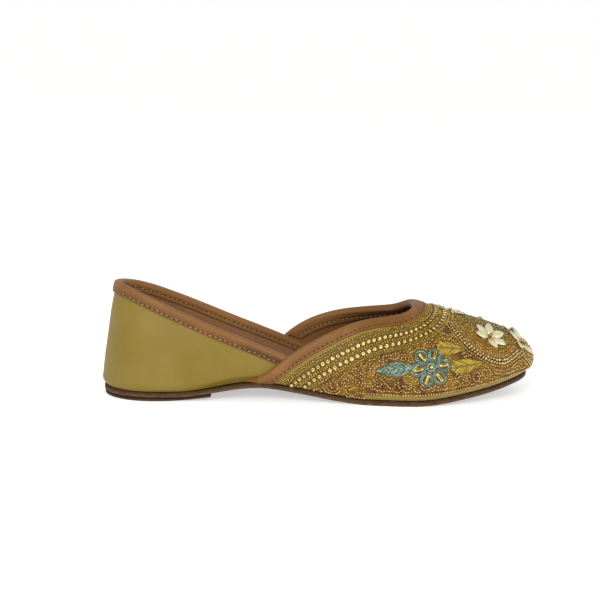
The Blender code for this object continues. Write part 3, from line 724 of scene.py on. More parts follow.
class Recipe:
    """A node material under construction."""

    def __init__(self, name: str, colour: Colour, roughness: float, **sockets: float) -> None:
        """Start from a Principled shader.

        Args:
            name: the material's name.
            colour: its base colour.
            roughness: its base roughness.
            sockets: further sockets of the shader, with underscores for spaces.
        """
        self.material = bpy.data.materials.new(name)
        self.material.use_nodes = True
        self.tree = self.material.node_tree
        self.shader = self.tree.nodes["Principled BSDF"]
        self.shader.inputs["Base Color"].default_value = (*colour, 1.0)
        self.shader.inputs["Roughness"].default_value = roughness
        for key, value in sockets.items():
            self.shader.inputs[key.replace("_", " ")].default_value = value
        self.material.diffuse_color = (*colour, 1.0)

    def node(self, kind: str, inputs: dict | None = None, **settings: object) -> bpy.types.Node:
        """Add a node.

        Args:
            kind: the node's type without its Shader prefix.
            inputs: sockets or values for its inputs, by name or number.
            settings: its own settings.

        Returns:
            The node.
        """
        node = self.tree.nodes.new("ShaderNode" + kind)
        for key, value in settings.items():
            setattr(node, key, value)
        for key, value in (inputs or {}).items():
            if isinstance(value, bpy.types.NodeSocket):
                self.tree.links.new(value, node.inputs[key])
            else:
                node.inputs[key].default_value = value
        return node

    def object_place(self) -> bpy.types.NodeSocket:
        """Return the place on the object."""
        return self.node("TexCoord").outputs["Object"]

    def attribute(self, name: str, output: str = "Fac") -> bpy.types.NodeSocket:
        """Return an attribute of the mesh."""
        return self.node("Attribute", attribute_name=name).outputs[output]

    def noise(
        self, place: bpy.types.NodeSocket, size: float, detail: float = 3.0, rough: float = 0.55
    ) -> bpy.types.NodeSocket:
        """Return noise whose clouds have about the given size in metres."""
        inputs = {"Vector": place, "Scale": 1 / size, "Detail": detail, "Roughness": rough}
        return self.node("TexNoise", inputs).outputs["Fac"]

    def cells(self, place: bpy.types.NodeSocket, size: float) -> bpy.types.NodeSocket:
        """Return the distance to the middle of grain cells of a size in metres."""
        inputs = {"Vector": place, "Scale": 1 / size}
        return self.node("TexVoronoi", inputs, feature="SMOOTH_F1").outputs["Distance"]

    def span(
        self, value: bpy.types.NodeSocket, low: float, high: float, start: float = 0.0,
        end: float = 1.0,
    ) -> bpy.types.NodeSocket:
        """Map a range of values to another, held at both ends."""
        inputs = {
            "Value": value, "From Min": low, "From Max": high, "To Min": start, "To Max": end,
        }
        return self.node("MapRange", inputs, clamp=True).outputs["Result"]

    def sums(
        self, operation: str, first: bpy.types.NodeSocket | float, second: object
    ) -> bpy.types.NodeSocket:
        """Return the result of a sum."""
        return self.node("Math", {0: first, 1: second}, operation=operation).outputs[0]

    def mix(
        self, factor: bpy.types.NodeSocket | float, first: object, second: object,
        blend: str = "MIX",
    ) -> bpy.types.NodeSocket:
        """Return a mix of two colours.

        Args:
            factor: share of the second colour.
            first: a colour or a socket.
            second: a colour or a socket.
            blend: how they are mixed.

        Returns:
            The mixed colour.
        """
        colours = [(*c, 1.0) if isinstance(c, tuple) else c for c in (first, second)]
        inputs = {0: factor, 6: colours[0], 7: colours[1]}
        return self.node("Mix", inputs, data_type="RGBA", blend_type=blend).outputs[2]

    def ramp(
        self, value: bpy.types.NodeSocket, stops: list[tuple[float, Colour]]
    ) -> bpy.types.NodeSocket:
        """Return the colour of a value on a ramp of named stops."""
        node = self.node("ValToRGB", {0: value})
        marks = node.color_ramp.elements
        while len(marks) < len(stops):
            marks.new(0.5)
        for mark, (place, colour) in zip(marks, stops):
            mark.position = place
            mark.color = (*colour, 1.0)
        return node.outputs[0]

    def colour(self, socket: bpy.types.NodeSocket) -> None:
        """Give the shader its colour."""
        self.tree.links.new(socket, self.shader.inputs["Base Color"])

    def roughness(self, socket: bpy.types.NodeSocket) -> None:
        """Give the shader its roughness."""
        self.tree.links.new(socket, self.shader.inputs["Roughness"])

    def relief(self, height: bpy.types.NodeSocket, depth: float, strength: float = 1.0) -> None:
        """Give the shader a relief of a depth in metres."""
        before = self.shader.inputs["Normal"].links
        inputs = {"Height": height, "Distance": depth, "Strength": strength}
        if before:
            inputs["Normal"] = before[0].from_socket
        bump = self.node("Bump", inputs)
        self.tree.links.new(bump.outputs["Normal"], self.shader.inputs["Normal"])


@dataclass(frozen=True)
class SmoothLeather:
    """Finished upper leather with soft clouds of colour, fine grain and faint spots, paler on worn
    edges and painted highlights and darker under painted shade.
    """

    name: str
    colour: Colour
    deep: Colour
    pale: Colour
    roughness: float
    grain: float = 0.0007
    grain_depth: float = 0.00003
    cloud: float = 0.022
    spots: float = 0.5

    def make(self) -> bpy.types.Material:
        """Return the material."""
        recipe = Recipe(self.name, self.colour, self.roughness, Specular_IOR_Level=0.22)
        place = recipe.object_place()
        clouds = recipe.noise(place, self.cloud, detail=4.0)
        base = recipe.ramp(
            clouds, [(0.28, self.deep), (0.52, self.colour), (0.78, self.pale)]
        )
        fleck = recipe.span(recipe.noise(place, 0.0035, detail=2.0), 0.66, 0.74, 0.0, self.spots)
        base = recipe.mix(fleck, base, self.deep)
        # Worn edges, and the painted highlights of the bindings, mix the colour towards the pale
        # one.
        edge = recipe.span(recipe.attribute("edge_wear_and_highlight"), 0.0, 1.0, 0.0, 0.8)
        base = recipe.mix(edge, base, self.pale)
        # Painted shade from the mesh darkens the colour towards a deep brown.
        shade = recipe.span(recipe.attribute("painted_shade"), 0.0, 1.0, 0.0, 0.75)
        dark = tuple(0.28 * part for part in self.deep)
        recipe.colour(recipe.mix(shade, base, dark))
        recipe.roughness(
            recipe.span(clouds, 0.3, 0.7, self.roughness - 0.05, self.roughness + 0.08)
        )
        recipe.relief(recipe.cells(place, self.grain), self.grain_depth, 0.8)
        recipe.relief(recipe.noise(place, 0.004), 0.00012, 0.5)
        return recipe.material


@dataclass(frozen=True)
class SoleFinish:
    """Firm sole leather with layers at its edge, scuffs and pale fibres."""

    name: str
    colour: Colour
    deep: Colour
    fibre: Colour
    roughness: float
    scuffs: float

    def make(self) -> bpy.types.Material:
        """Return the material."""
        recipe = Recipe(self.name, self.colour, self.roughness, Specular_IOR_Level=0.15)
        place = recipe.object_place()
        clouds = recipe.noise(place, 0.010, detail=6.0, rough=0.65)
        base = recipe.mix(recipe.span(clouds, 0.35, 0.7), self.deep, self.colour)
        long = recipe.node("Mapping", {"Vector": place, "Scale": (0.35, 1.0, 2.6)})
        scratch = recipe.noise(long.outputs[0], 0.0014, detail=4.0, rough=0.7)
        worn = recipe.span(scratch, 0.60, 0.72, 0.0, self.scuffs)
        base = recipe.mix(worn, base, self.fibre)
        rough = recipe.span(scratch, 0.4, 0.6, 0.2, 1.0)
        rim = recipe.sums("MULTIPLY", recipe.attribute("edge_wear_and_highlight"), rough)
        recipe.colour(recipe.mix(rim, base, self.fibre))
        recipe.roughness(recipe.span(clouds, 0.3, 0.7, self.roughness - 0.08, self.roughness + 0.1))
        recipe.relief(scratch, 0.0001, 0.7)
        recipe.relief(recipe.cells(place, 0.0011), 0.00005, 0.6)
        return recipe.material


@dataclass(frozen=True)
class EmbroideredCloth:
    """Silk ground cloth, dyed in zones, with fine satin stitches lying on it."""

    name: str
    colour: Colour
    roughness: float
    thread: float = 0.0006

    def make(self) -> bpy.types.Material:
        """Return the material."""
        recipe = Recipe(self.name, self.colour, self.roughness, Specular_IOR_Level=0.4)
        recipe.shader.inputs["Sheen Weight"].default_value = 0.15
        recipe.shader.inputs["Sheen Roughness"].default_value = 0.4
        dye = recipe.attribute("dye", "Color")
        chart = recipe.attribute("chart", "Vector")
        place = recipe.object_place()
        worked = recipe.attribute("worked")
        bend = recipe.node("TexNoise", {"Vector": place, "Scale": 1 / 0.006, "Detail": 1.0})
        swirl = recipe.node(
            "VectorMath", {0: bend.outputs["Color"], 3: 0.005}, operation="SCALE"
        ).outputs[0]
        moved = recipe.node("VectorMath", {0: chart, 1: swirl}, operation="ADD").outputs[0]
        stitch = recipe.node(
            "TexWave",
            {"Vector": moved, "Scale": 0.31 / self.thread, "Distortion": 2.2, "Detail": 2.0,
             "Detail Scale": 1.5},
            wave_type="BANDS", bands_direction="DIAGONAL",
        ).outputs["Fac"]
        patch = recipe.noise(place, 0.0032, detail=2.0)
        patches = recipe.span(patch, 0.42, 0.60)
        warm = recipe.mix(patches, (0.66, 0.56, 0.42), (1.30, 1.38, 1.1))
        silk = recipe.mix(worked, dye, recipe.mix(1.0, dye, warm, "MULTIPLY"))
        # Painted shade in the grooves between the satin stitches and a faint painted sheen on their
        # crests, following the waves of their relief.
        threads = recipe.span(stitch, 0.1, 0.7)
        lines = recipe.mix(threads, (0.62, 0.55, 0.5), (1.1, 1.1, 1.1))
        silk = recipe.mix(worked, silk, recipe.mix(1.0, silk, lines, "MULTIPLY"))
        weave = recipe.cells(place, 0.0007)
        dips = recipe.span(weave, 0.1, 0.8)
        plain = recipe.mix(dips, (1.08, 1.08, 1.05), (0.86, 0.86, 0.86))
        recipe.colour(recipe.mix(1.0, silk, plain, "MULTIPLY"))
        recipe.relief(recipe.sums("MULTIPLY", stitch, worked), 0.00022, 0.9)
        recipe.relief(weave, 0.00006, 0.7)
        return recipe.material


@dataclass(frozen=True)
class BeadFinish:
    """Glass or metal of the beads, a little different from bead to bead."""

    name: str
    colour: Colour
    other: Colour
    roughness: float
    metal: float
    coat: float = 0.0
    clear: float = 0.0

    def make(self) -> bpy.types.Material:
        """Return the material."""
        recipe = Recipe(self.name, self.colour, self.roughness, Metallic=self.metal)
        recipe.shader.inputs["Coat Weight"].default_value = self.coat
        recipe.shader.inputs["Coat Roughness"].default_value = 0.08
        recipe.shader.inputs["Transmission Weight"].default_value = self.clear
        tint = recipe.attribute("tint")
        recipe.colour(recipe.mix(tint, self.colour, self.other))
        return recipe.material


@dataclass(frozen=True)
class SequinFinish:
    """Clear iridescent sequin, pale inside and pink, green and blue at its rim."""

    name: str
    colour: Colour
    rim: Colour
    far_rim: Colour
    roughness: float = 0.16

    def make(self) -> bpy.types.Material:
        """Return the material."""
        recipe = Recipe(self.name, self.colour, self.roughness, Specular_IOR_Level=0.8)
        recipe.shader.inputs["Coat Weight"].default_value = 0.7
        recipe.shader.inputs["Coat Roughness"].default_value = 0.05
        place = recipe.object_place()
        hue = recipe.noise(place, 0.0045, detail=1.0)
        edge = recipe.mix(recipe.span(hue, 0.40, 0.60), self.rim, self.far_rim)
        rim = recipe.span(recipe.attribute("edge_wear_and_highlight"), 0.55, 0.95, 0.0, 0.85)
        recipe.colour(recipe.mix(rim, self.colour, edge))
        return recipe.material


@dataclass(frozen=True)
class ThreadFinish:
    """Twisted thread, of silk or of sewing cotton."""

    name: str
    colour: Colour
    other: Colour
    roughness: float

    def make(self) -> bpy.types.Material:
        """Return the material."""
        recipe = Recipe(self.name, self.colour, self.roughness, Specular_IOR_Level=0.4)
        recipe.shader.inputs["Sheen Weight"].default_value = 0.3
        tint = recipe.attribute("tint")
        place = recipe.object_place()
        twist = recipe.noise(place, 0.0006, detail=2.0)
        tint, shade = (
            recipe.sums("MULTIPLY", part, share) for part, share in ((tint, 0.6), (twist, 0.5))
        )
        blended = recipe.sums("ADD", tint, shade)
        recipe.colour(recipe.mix(blended, self.colour, self.other))
        recipe.relief(twist, 0.00005, 0.6)
        return recipe.material


# Meshes

def grid(columns: int, rows: int) -> tuple[bmesh.types.BMesh, object]:
    """Return a grid whose corners carry their number, column by column.

    Args:
        columns: corners along the grid.
        rows: corners across it.

    Returns:
        The grid and the layer that holds the numbers.
    """
    mesh = bmesh.new()
    bmesh.ops.create_grid(mesh, x_segments=columns - 1, y_segments=rows - 1, size=0.5)
    number = mesh.verts.layers.int.new("number")
    for corner in mesh.verts:
        column = round((corner.co.x + 0.5) * (columns - 1))
        row = round((corner.co.y + 0.5) * (rows - 1))
        corner[number] = column * rows + row
    return mesh, number


def lay(mesh: bmesh.types.BMesh, number: object, places: Array, corners: object = None) -> None:
    """Move a grid's corners to their places.

    Args:
        mesh: the grid.
        number: the layer of the corners' numbers.
        places: a place for each column and row.
        corners: the corners to move, all where none are given.
    """
    flat = places.reshape(-1, 3).tolist()
    for corner in corners or mesh.verts:
        corner.co = flat[corner[number]]


def thicken(mesh: bmesh.types.BMesh, number: object, inner: Array) -> None:
    """Give a sheet its thickness: a copy of it is pulled out to the inner places."""
    pulled = bmesh.ops.extrude_face_region(mesh, geom=mesh.faces[:], use_keep_orig=True)
    corners = [part for part in pulled["geom"] if isinstance(part, bmesh.types.BMVert)]
    lay(mesh, number, inner, corners)


def merge(mesh: bmesh.types.BMesh) -> None:
    """Join corners that lie on each other and drop faces without an area."""
    bmesh.ops.remove_doubles(mesh, verts=mesh.verts, dist=1e-6)
    bmesh.ops.dissolve_degenerate(mesh, edges=mesh.edges, dist=1e-7)


def close_rims(mesh: bmesh.types.BMesh) -> None:
    """Fill the holes of a mesh."""
    rims = [edge for edge in mesh.edges if edge.is_boundary]
    bmesh.ops.holes_fill(mesh, edges=rims, sides=0)


def point_attribute(data: bpy.types.Mesh, name: str, values: Array) -> None:
    """Write a float, a vector or a colour for each corner of a mesh."""
    kind, key = {1: ("FLOAT", "value"), 3: ("FLOAT_VECTOR", "vector"), 4: ("FLOAT_COLOR", "color")}[
        1 if values.ndim == 1 else values.shape[1]
    ]
    layer = data.attributes.new(name, kind, "POINT")
    layer.data.foreach_set(key, np.ascontiguousarray(values, np.float32).ravel())


def corner_numbers(data: bpy.types.Mesh) -> Array:
    """Return the grid numbers that a mesh's corners still carry."""
    numbers = np.zeros(len(data.vertices), np.int32)
    data.attributes["number"].data.foreach_get("value", numbers)
    return numbers


def to_data(mesh: bmesh.types.BMesh, name: str, sharp: float = 40.0) -> bpy.types.Mesh:
    """Turn a mesh outwards and make it mesh data, smooth but for its sharp edges."""
    bmesh.ops.recalc_face_normals(mesh, faces=mesh.faces)
    data = bpy.data.meshes.new(name)
    mesh.to_mesh(data)
    mesh.free()
    data.shade_smooth()
    if sharp < 180:
        data.set_sharp_from_angle(angle=math.radians(sharp))
    return data


def add_object(name: str, data: bpy.types.ID) -> bpy.types.Object:
    """Put data in the scene as an object."""
    placed = bpy.data.objects.new(name, data)
    bpy.context.scene.collection.objects.link(placed)
    return placed


def add_piece(
    data: bpy.types.Mesh, name: str, material: bpy.types.Material,
    replaces: str = "",
) -> bpy.types.Object:
    """Make mesh data a piece of the shoe.

    Args:
        data: the mesh.
        name: the piece's name.
        material: its finish.
        replaces: the CAD node that it stands for.

    Returns:
        The object.
    """
    data.materials.append(material)
    piece = add_object(name, data)
    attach(piece, BODY)
    if replaces:
        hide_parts(replaces)
    log.info("%s: %d faces", name, len(data.polygons))
    return piece


class Copies:
    """Copies of one small shape, gathered to be one mesh."""

    def __init__(self, template: bmesh.types.BMesh, edge_wear_and_highlight: Array | None = None) -> None:
        """Keep the small shape's corners and faces.

        Args:
            template: the small shape.
            edge_wear_and_highlight: how near each of its corners is to its rim, if that shows.
        """
        self.edge_wear_and_highlight = edge_wear_and_highlight
        template.verts.ensure_lookup_table()
        template.verts.index_update()
        self.corners = np.array([corner.co for corner in template.verts], float)
        self.faces = [[corner.index for corner in face.verts] for face in template.faces]
        template.free()
        self.parts: list[tuple[Array, Array, Array, Array]] = []

    def add(self, points: Array, runs: Array, normals: Array, size: tuple) -> None:
        """Add copies.

        Args:
            points: where they lie.
            runs: where their x axis points.
            normals: where their z axis points.
            size: their size along x, y and z, one number or one for each copy.
        """
        points, runs, normals = (np.atleast_2d(part) for part in (points, runs, normals))
        if not len(points):
            return
        up = unit(normals)
        along = unit(runs - up * dot(runs, up)[:, None])
        across = np.cross(up, along)
        sizes = [np.broadcast_to(np.asarray(part, float), (len(points),))[:, None] for part in size]
        self.parts.append((points, along * sizes[0], across * sizes[1], up * sizes[2]))

    def data(self, name: str, seed: int = 3) -> bpy.types.Mesh:
        """Return all copies as one mesh, each with a tint of its own."""
        points, along, across, up = (np.concatenate(part) for part in zip(*self.parts))
        base = self.corners
        placed = (
            points[:, None]
            + along[:, None] * base[None, :, 0:1]
            + across[:, None] * base[None, :, 1:2]
            + up[:, None] * base[None, :, 2:3]
        )
        count, size = len(points), len(base)
        loops = np.concatenate([np.array(face) for face in self.faces])
        lengths = np.array([len(face) for face in self.faces])
        shift = np.arange(count)[:, None] * size
        all_loops = (loops[None] + shift).ravel()
        all_lengths = np.tile(lengths, count)
        data = bpy.data.meshes.new(name)
        data.vertices.add(count * size)
        data.loops.add(len(all_loops))
        data.polygons.add(len(all_lengths))
        data.vertices.foreach_set("co", placed.astype(np.float32).ravel())
        data.loops.foreach_set("vertex_index", all_loops.astype(np.int32))
        starts = np.concatenate([[0], np.cumsum(all_lengths)[:-1]])
        data.polygons.foreach_set("loop_start", starts.astype(np.int32))
        data.update(calc_edges=True)
        data.shade_smooth()
        tints = np.random.default_rng(seed).random(count)
        point_attribute(data, "tint", np.repeat(tints, size))
        if self.edge_wear_and_highlight is not None:
            point_attribute(data, "edge_wear_and_highlight", np.tile(self.edge_wear_and_highlight, count))
        return data


def round_bead(around: int = 8, rings: int = 5) -> bmesh.types.BMesh:
    """Return a ball one wide, made of few faces."""
    mesh = bmesh.new()
    bmesh.ops.create_uvsphere(mesh, u_segments=around, v_segments=rings, radius=0.5)
    return mesh


def domed_bead(around: int = 9) -> bmesh.types.BMesh:
    """Return a metal bead one wide that is sewn on flat, with its hole on top."""
    mesh = bmesh.new()
    profile = ((0.24, -0.5), (0.50, -0.10), (0.44, 0.27), (0.27, 0.45), (0.15, -0.10))
    corners = [mesh.verts.new((radius, 0.0, height)) for radius, height in profile]
    edges = [mesh.edges.new(pair) for pair in zip(corners, corners[1:])]
    bmesh.ops.spin(
        mesh, geom=corners + edges, cent=(0, 0, 0), axis=(0, 0, 1), angle=2 * math.pi, steps=around,
        use_merge=True, use_duplicate=False,
    )
    bmesh.ops.remove_doubles(mesh, verts=mesh.verts, dist=1e-5)
    close_rims(mesh)
    bmesh.ops.recalc_face_normals(mesh, faces=mesh.faces)
    return mesh


def bugle_bead(around: int = 8) -> bmesh.types.BMesh:
    """Return a tube bead one long and one wide, its ends rounded off."""
    mesh = bmesh.new()
    bmesh.ops.create_cone(
        mesh, cap_ends=True, segments=around, radius1=0.5, radius2=0.5, depth=1.0,
        matrix=Matrix.Rotation(math.pi / 2, 4, "Y"),
    )
    rims = [edge for edge in mesh.edges if abs(edge.verts[0].co.x - edge.verts[1].co.x) < 1e-6]
    bmesh.ops.bevel(
        mesh, geom=rims, offset=0.09, offset_type="OFFSET", segments=2, profile=0.5,
        affect="EDGES", material=-1, clamp_overlap=True,
    )
    return mesh


def thread_bit() -> bmesh.types.BMesh:
    """Return a short length of thread with rounded ends, one long and one thick."""
    mesh = bmesh.new()
    bmesh.ops.create_uvsphere(
        mesh, u_segments=8, v_segments=6, radius=0.5, matrix=Matrix.Rotation(math.pi / 2, 4, "Y")
    )
    for corner in mesh.verts:
        corner.co.x = math.copysign(min(abs(corner.co.x) * 1.55, 0.5), corner.co.x)
    return mesh


# Sole

@dataclass
class Sole:
    """Outsole, heel lift and insole, each closed and laid on the last's plan."""

    form: LastForm
    columns: int = 240
    rows_inside: int = 10
    edge_round: float = 0.0007
    channel_inset: float = 0.0060
    channel_depth: float = 0.0004
    groove_width: float = 0.0012
    insole_crown: float = 0.0006
    crown_reach: float = 0.016
    insole_edge_round: float = 0.0005
    lift_columns: int = 97
    lift_edge_round: float = 0.0004

    def spine(self, turn: Array) -> Array:
        """Return where a sole's two halves meet, seen from above."""
        share = self.form.share_of(turn)
        return np.stack([self.form.spine_x(share), self.form.centre_y(share)], -1)

    def plate(
        self, name: str, inset: Array, top: Callable, bottom: Callable, edge_round: float
    ) -> bpy.types.Mesh:
        """Return a plate with the sole's outline and a rounded edge.

        Args:
            name: the mesh's name.
            inset: how far it keeps back from the sole's edge, for each column.
            top: height of its upper face at places seen from above.
            bottom: height of its lower face.
            edge_round: radius of its edges.

        Returns:
            The mesh, with rub where its edge wears.
        """
        turns = np.linspace(-1, 1, self.columns + 1)
        shares = (np.linspace(1, 0, self.rows_inside) ** 1.5)[:-1]
        curve = [
            (edge_round * (1 - math.sin(arc)), edge_round * (1 - math.cos(arc)))
            for arc in np.linspace(0, math.pi / 2, 4)
        ]
        rows = [(share, 0.0, 0.0, 1) for share in shares]
        rows += [(0.0, back, down, 1) for back, down in curve]
        rows += [(0.0, back, down, -1) for back, down in reversed(curve)]
        rows += [(share, 0.0, 0.0, -1) for share in reversed(shares)]
        mesh, number = grid(len(turns), len(rows))
        places = np.zeros((len(turns), len(rows), 3))
        edge_wear_and_highlight = np.zeros((len(turns), len(rows)))
        spine = self.spine(turns)
        for row, (share, back, down, face) in enumerate(rows):
            edge = self.form.sole_edge(turns, -inset - back)
            plan = edge + (spine - edge) * share
            height = top(plan) - down if face > 0 else bottom(plan) + down
            places[:, row, :2] = plan
            places[:, row, 2] = height
            edge_wear_and_highlight[:, row] = 1.0 if share == 0 and face < 0 else 0.25 * (share == 0)
        lay(mesh, number, places)
        merge(mesh)
        data = to_data(mesh, name)
        point_attribute(data, "edge_wear_and_highlight", edge_wear_and_highlight.ravel()[corner_numbers(data)])
        return data

    def build_outsole(self, finish: bpy.types.Material) -> None:
        """Build the outsole with a shallow channel in its tread."""
        form = self.form

        def bottom(plan: Array) -> Array:
            turns = np.linspace(-1, 1, self.columns + 1)
            edge = form.sole_edge(turns, np.zeros(len(turns)))
            inset = np.linalg.norm(plan - edge, axis=1)
            groove = np.exp(-(((inset - self.channel_inset) / self.groove_width) ** 2))
            return form.underside(plan[:, 0]) + self.channel_depth * groove

        flat = np.zeros(self.columns + 1)
        data = self.plate(
            "outsole_leather", flat, lambda plan: form.sole_top(plan[:, 0]), bottom, self.edge_round
        )
        add_piece(data, "outsole_leather", finish, "outsole")

    def build_insole(self, finish: bpy.types.Material) -> None:
        """Build the insole, softly crowned along its middle."""
        form = self.form
        turns = np.linspace(-1, 1, self.columns + 1)
        x = form.skin(turns, np.zeros(len(turns)))[:, 0]
        front = max(float(form.skin(form.quarter_end[side], 0.0)[0]) for side in (-1, 1))
        depth = form.tuck(x) + form.quarter_wall
        ahead = ease((x - front - form.tuck_lead) / form.insole_ease)
        inset = form.feather_inset + depth * (1 - ahead) + form.vamp_wall * ahead + 2 * form.gap

        def top(plan: Array) -> Array:
            edge = form.sole_edge(turns, -inset)
            far = ease(np.linalg.norm(plan - edge, axis=1) / self.crown_reach)
            return (
                form.sole_top(plan[:, 0]) + form.gap + form.insole_thickness
                + self.insole_crown * (far - 0.4)
            )

        data = self.plate(
            "insole_leather", inset, top, lambda plan: form.sole_top(plan[:, 0]) + form.gap,
            self.insole_edge_round,
        )
        add_piece(data, "insole_leather", finish, "insole")

    def build_lift(self, finish: bpy.types.Material) -> None:
        """Build the low heel lift, flat on the floor and scooped up to its breast."""
        form = self.form
        breast = form.heel_end + form.lift_length

        def behind(turns: Array) -> Array:
            return form.sole_edge(turns, np.full(turns.shape, -form.lift_inset))[:, 0] < breast

        last = form.find_turn(behind, 0.05, 0.9)
        columns = self.lift_columns
        turns = np.linspace(-last, last, columns)
        back = form.heel_end + HEEL_SEAT_WIDTH / 2
        middle_x = back + (breast - back) * np.abs(turns / last) ** 1.3
        middle = np.stack([middle_x, np.full(columns, form.middle_y)], -1)
        edge_round = self.lift_edge_round
        arcs = [0.0, 0.5, 1.0]
        inner = np.linspace(1, 0, 12)[:-1]
        rows = [(share, 0.0, 0.0, 1) for share in inner]
        rows += [(0.0, edge_round * (1 - arc), edge_round * arc, 1) for arc in arcs]
        rows += [(0.0, 0.0, 0.5, 0)]
        rows += [(0.0, edge_round * (1 - arc), edge_round * arc, -1) for arc in reversed(arcs)]
        rows += [(share, 0.0, 0.0, -1) for share in reversed(inner)]
        places = np.zeros((columns, len(rows), 3))
        edge_wear_and_highlight = np.zeros((columns, len(rows)))
        start = breast - form.lift_scoop_length
        for row, (share, inset, down, face) in enumerate(rows):
            edge = form.sole_edge(turns, np.full(columns, -form.lift_inset - inset))
            edge[0, 0] = edge[-1, 0] = breast
            plan = edge + (middle - edge) * share
            top = form.underside(plan[:, 0]) - form.gap
            scoop = ease((plan[:, 0] - start) / (2 * form.lift_scoop_length))
            floor = 2 * form.lift_scoop * scoop
            heights = {1: top - down, 0: (top + floor) / 2, -1: floor + down}
            places[:, row, :2] = plan
            places[:, row, 2] = heights[face]
            edge_wear_and_highlight[:, row] = 0.8 if share == 0 and face <= 0 else 0.0
        mesh, number = grid(columns, len(rows))
        lay(mesh, number, places)
        merge(mesh)
        close_rims(mesh)
        data = to_data(mesh, "heel_lift_leather")
        point_attribute(data, "edge_wear_and_highlight", edge_wear_and_highlight.ravel()[corner_numbers(data)])
        add_piece(data, "heel_lift_leather", finish, "heel_lift")


# Quarter and vamp

@dataclass
class Upper:
    """The two crescents of the upper, each an outer layer with a lining behind it."""

    form: LastForm
    spacing: float = 0.0012
    quarter_layer: float = 0.0010
    vamp_layer: float = 0.0012
    layer_gap: float = 0.00008
    feather_roll: float = 0.00035
    quarter_rows: int = 44
    vamp_rows: int = 54
    tip_length: float = 0.0080
    roll_height: float = 0.0035
    roll_width: float = 0.0022
    first_wave: float = 0.00022
    second_wave: float = 0.00018

    def rows_up_to(self, climbs: Array, count: int) -> Array:
        """Return the climbs of each column's rows."""
        part = np.linspace(0, 1, count)
        crowded = (1 - np.cos(math.pi * part)) / 2
        return climbs[:, None] * (part + (crowded - part) * 0.35)[None]

    def wall(
        self, name: str, turns: Array, climbs: Array, outer: Array, inner: Array
    ) -> bpy.types.Mesh:
        """Return a layer of the wall as a closed mesh with its chart.

        Args:
            name: the mesh's name.
            turns: the turn of each column.
            climbs: the climb of each column and row.
            outer: depth of its outer face below the last.
            inner: depth of its inner face.

        Returns:
            The mesh, with each corner's place along and up the wall.
        """
        form = self.form
        mesh, number = grid(*climbs.shape)
        spread = np.broadcast_to(turns[:, None], climbs.shape)
        lay(mesh, number, form.wall_point(spread, climbs, -outer))
        merge(mesh)
        thicken(mesh, number, form.wall_point(spread, climbs, -inner))
        data = to_data(mesh, name)
        places = form.skin(spread, climbs)
        steps = np.diff(places, axis=1, prepend=places[:, :1])
        up = np.cumsum(np.linalg.norm(steps, axis=2), axis=1)
        middle = places[:, climbs.shape[1] // 3]
        along = np.cumsum(np.linalg.norm(np.diff(middle, axis=0, prepend=middle[:1]), axis=1))
        chart = np.stack([np.broadcast_to(along[:, None], up.shape), up, np.zeros(up.shape)], -1)
        numbers = corner_numbers(data)
        point_attribute(data, "chart", chart.reshape(-1, 3)[numbers])
        return data

    def build_quarter(self, leather: bpy.types.Material, lining: bpy.types.Material) -> None:
        """Build the quarter, one wall round the heel from wing to wing."""
        form = self.form
        turns = form.edge_turns(
            Topline.QUARTER, form.quarter_end[-1], form.quarter_end[1], self.spacing
        )
        climbs = self.rows_up_to(form.edge_climb(turns, Topline.QUARTER), self.quarter_rows)
        places = form.skin(turns[:, None], climbs)
        depth = form.tuck(places[..., 0])
        over_sole = places[..., 2] - form.sole_top(places[..., 0])
        along = form.along_of(places[..., 0])
        seat = (1 - ease((along - 0.20) / 0.25)) * ease(climbs / 0.03)
        low = (over_sole - self.roll_height) / self.roll_width
        roll = self.feather_roll * np.exp(-(low**2)) * seat
        wave = self.first_wave * np.sin(along * 41 + over_sole * 60) * np.sin(over_sole * 110 + 0.8)
        wave += self.second_wave * np.sin(along * 23 - over_sole * 90 + turns[:, None] * 2.0)
        wave *= ease(over_sole / 0.012) * (1 - ease((along - 0.3) / 0.15))
        outer = depth - roll - wave
        layer = depth + self.quarter_layer
        data = self.wall("quarter_leather", turns, climbs, outer, layer)
        add_piece(data, "quarter_leather", leather, "quarter")
        data = self.wall(
            "quarter_lining", turns, climbs, layer + self.layer_gap, depth + form.quarter_wall
        )
        add_piece(data, "quarter_lining", lining)

    def build_wing_tips(self, finish: bpy.types.Material) -> None:
        """Build the thin ends of the vamp's strip, which lie on the quarter down to the sole."""
        form = self.form
        for side, name in ((-1, "outer"), (1, "inner")):
            first = form.vamp_end[side]
            low = np.linspace(0, 0.2, 60)
            start = form.skin(first, form.edge_climb(np.array(first), Topline.VAMP))
            end_share = form.along_of(start[0]) - self.tip_length / form.sole_length
            turns = np.linspace(first + side * 0.002, side * form.turn_of(end_share), 26)
            part = np.linspace(0, 1, len(turns))
            height = start[2] - form.skin(first, 0.0)[2] + form.gap + form.binding_leather
            tops = []
            for turn, share in zip(turns, part):
                rise = form.skin(turn, low)[:, 2] - form.skin(turn, 0.0)[2]
                tops.append(np.interp(height * (1 - share) ** 2.0 * (1 - 0.2 * share), rise, low))
            climbs = self.rows_up_to(np.maximum(np.array(tops), 1e-4), 9)
            full = form.cover_gap + form.binding_leather
            crown = np.sqrt(np.clip(1 - np.linspace(0, 1, climbs.shape[1]) ** 6, 0, 1))
            under = form.tuck(form.skin(turns, climbs[:, 0])[:, 0]) - form.gap
            thick = (full + under) * (1 - part**1.2 * 0.80)
            outer = -(thick[:, None] * (0.25 + 0.75 * crown[None]) - under[:, None])
            data = self.wall("wing_tip_" + name, turns, climbs, outer, under[:, None] + 0 * climbs)
            zero = np.zeros(len(data.vertices))
            point_attribute(data, "painted_shade", zero)
            point_attribute(data, "edge_wear_and_highlight", zero)
            add_piece(data, "wing_tip_" + name, finish)

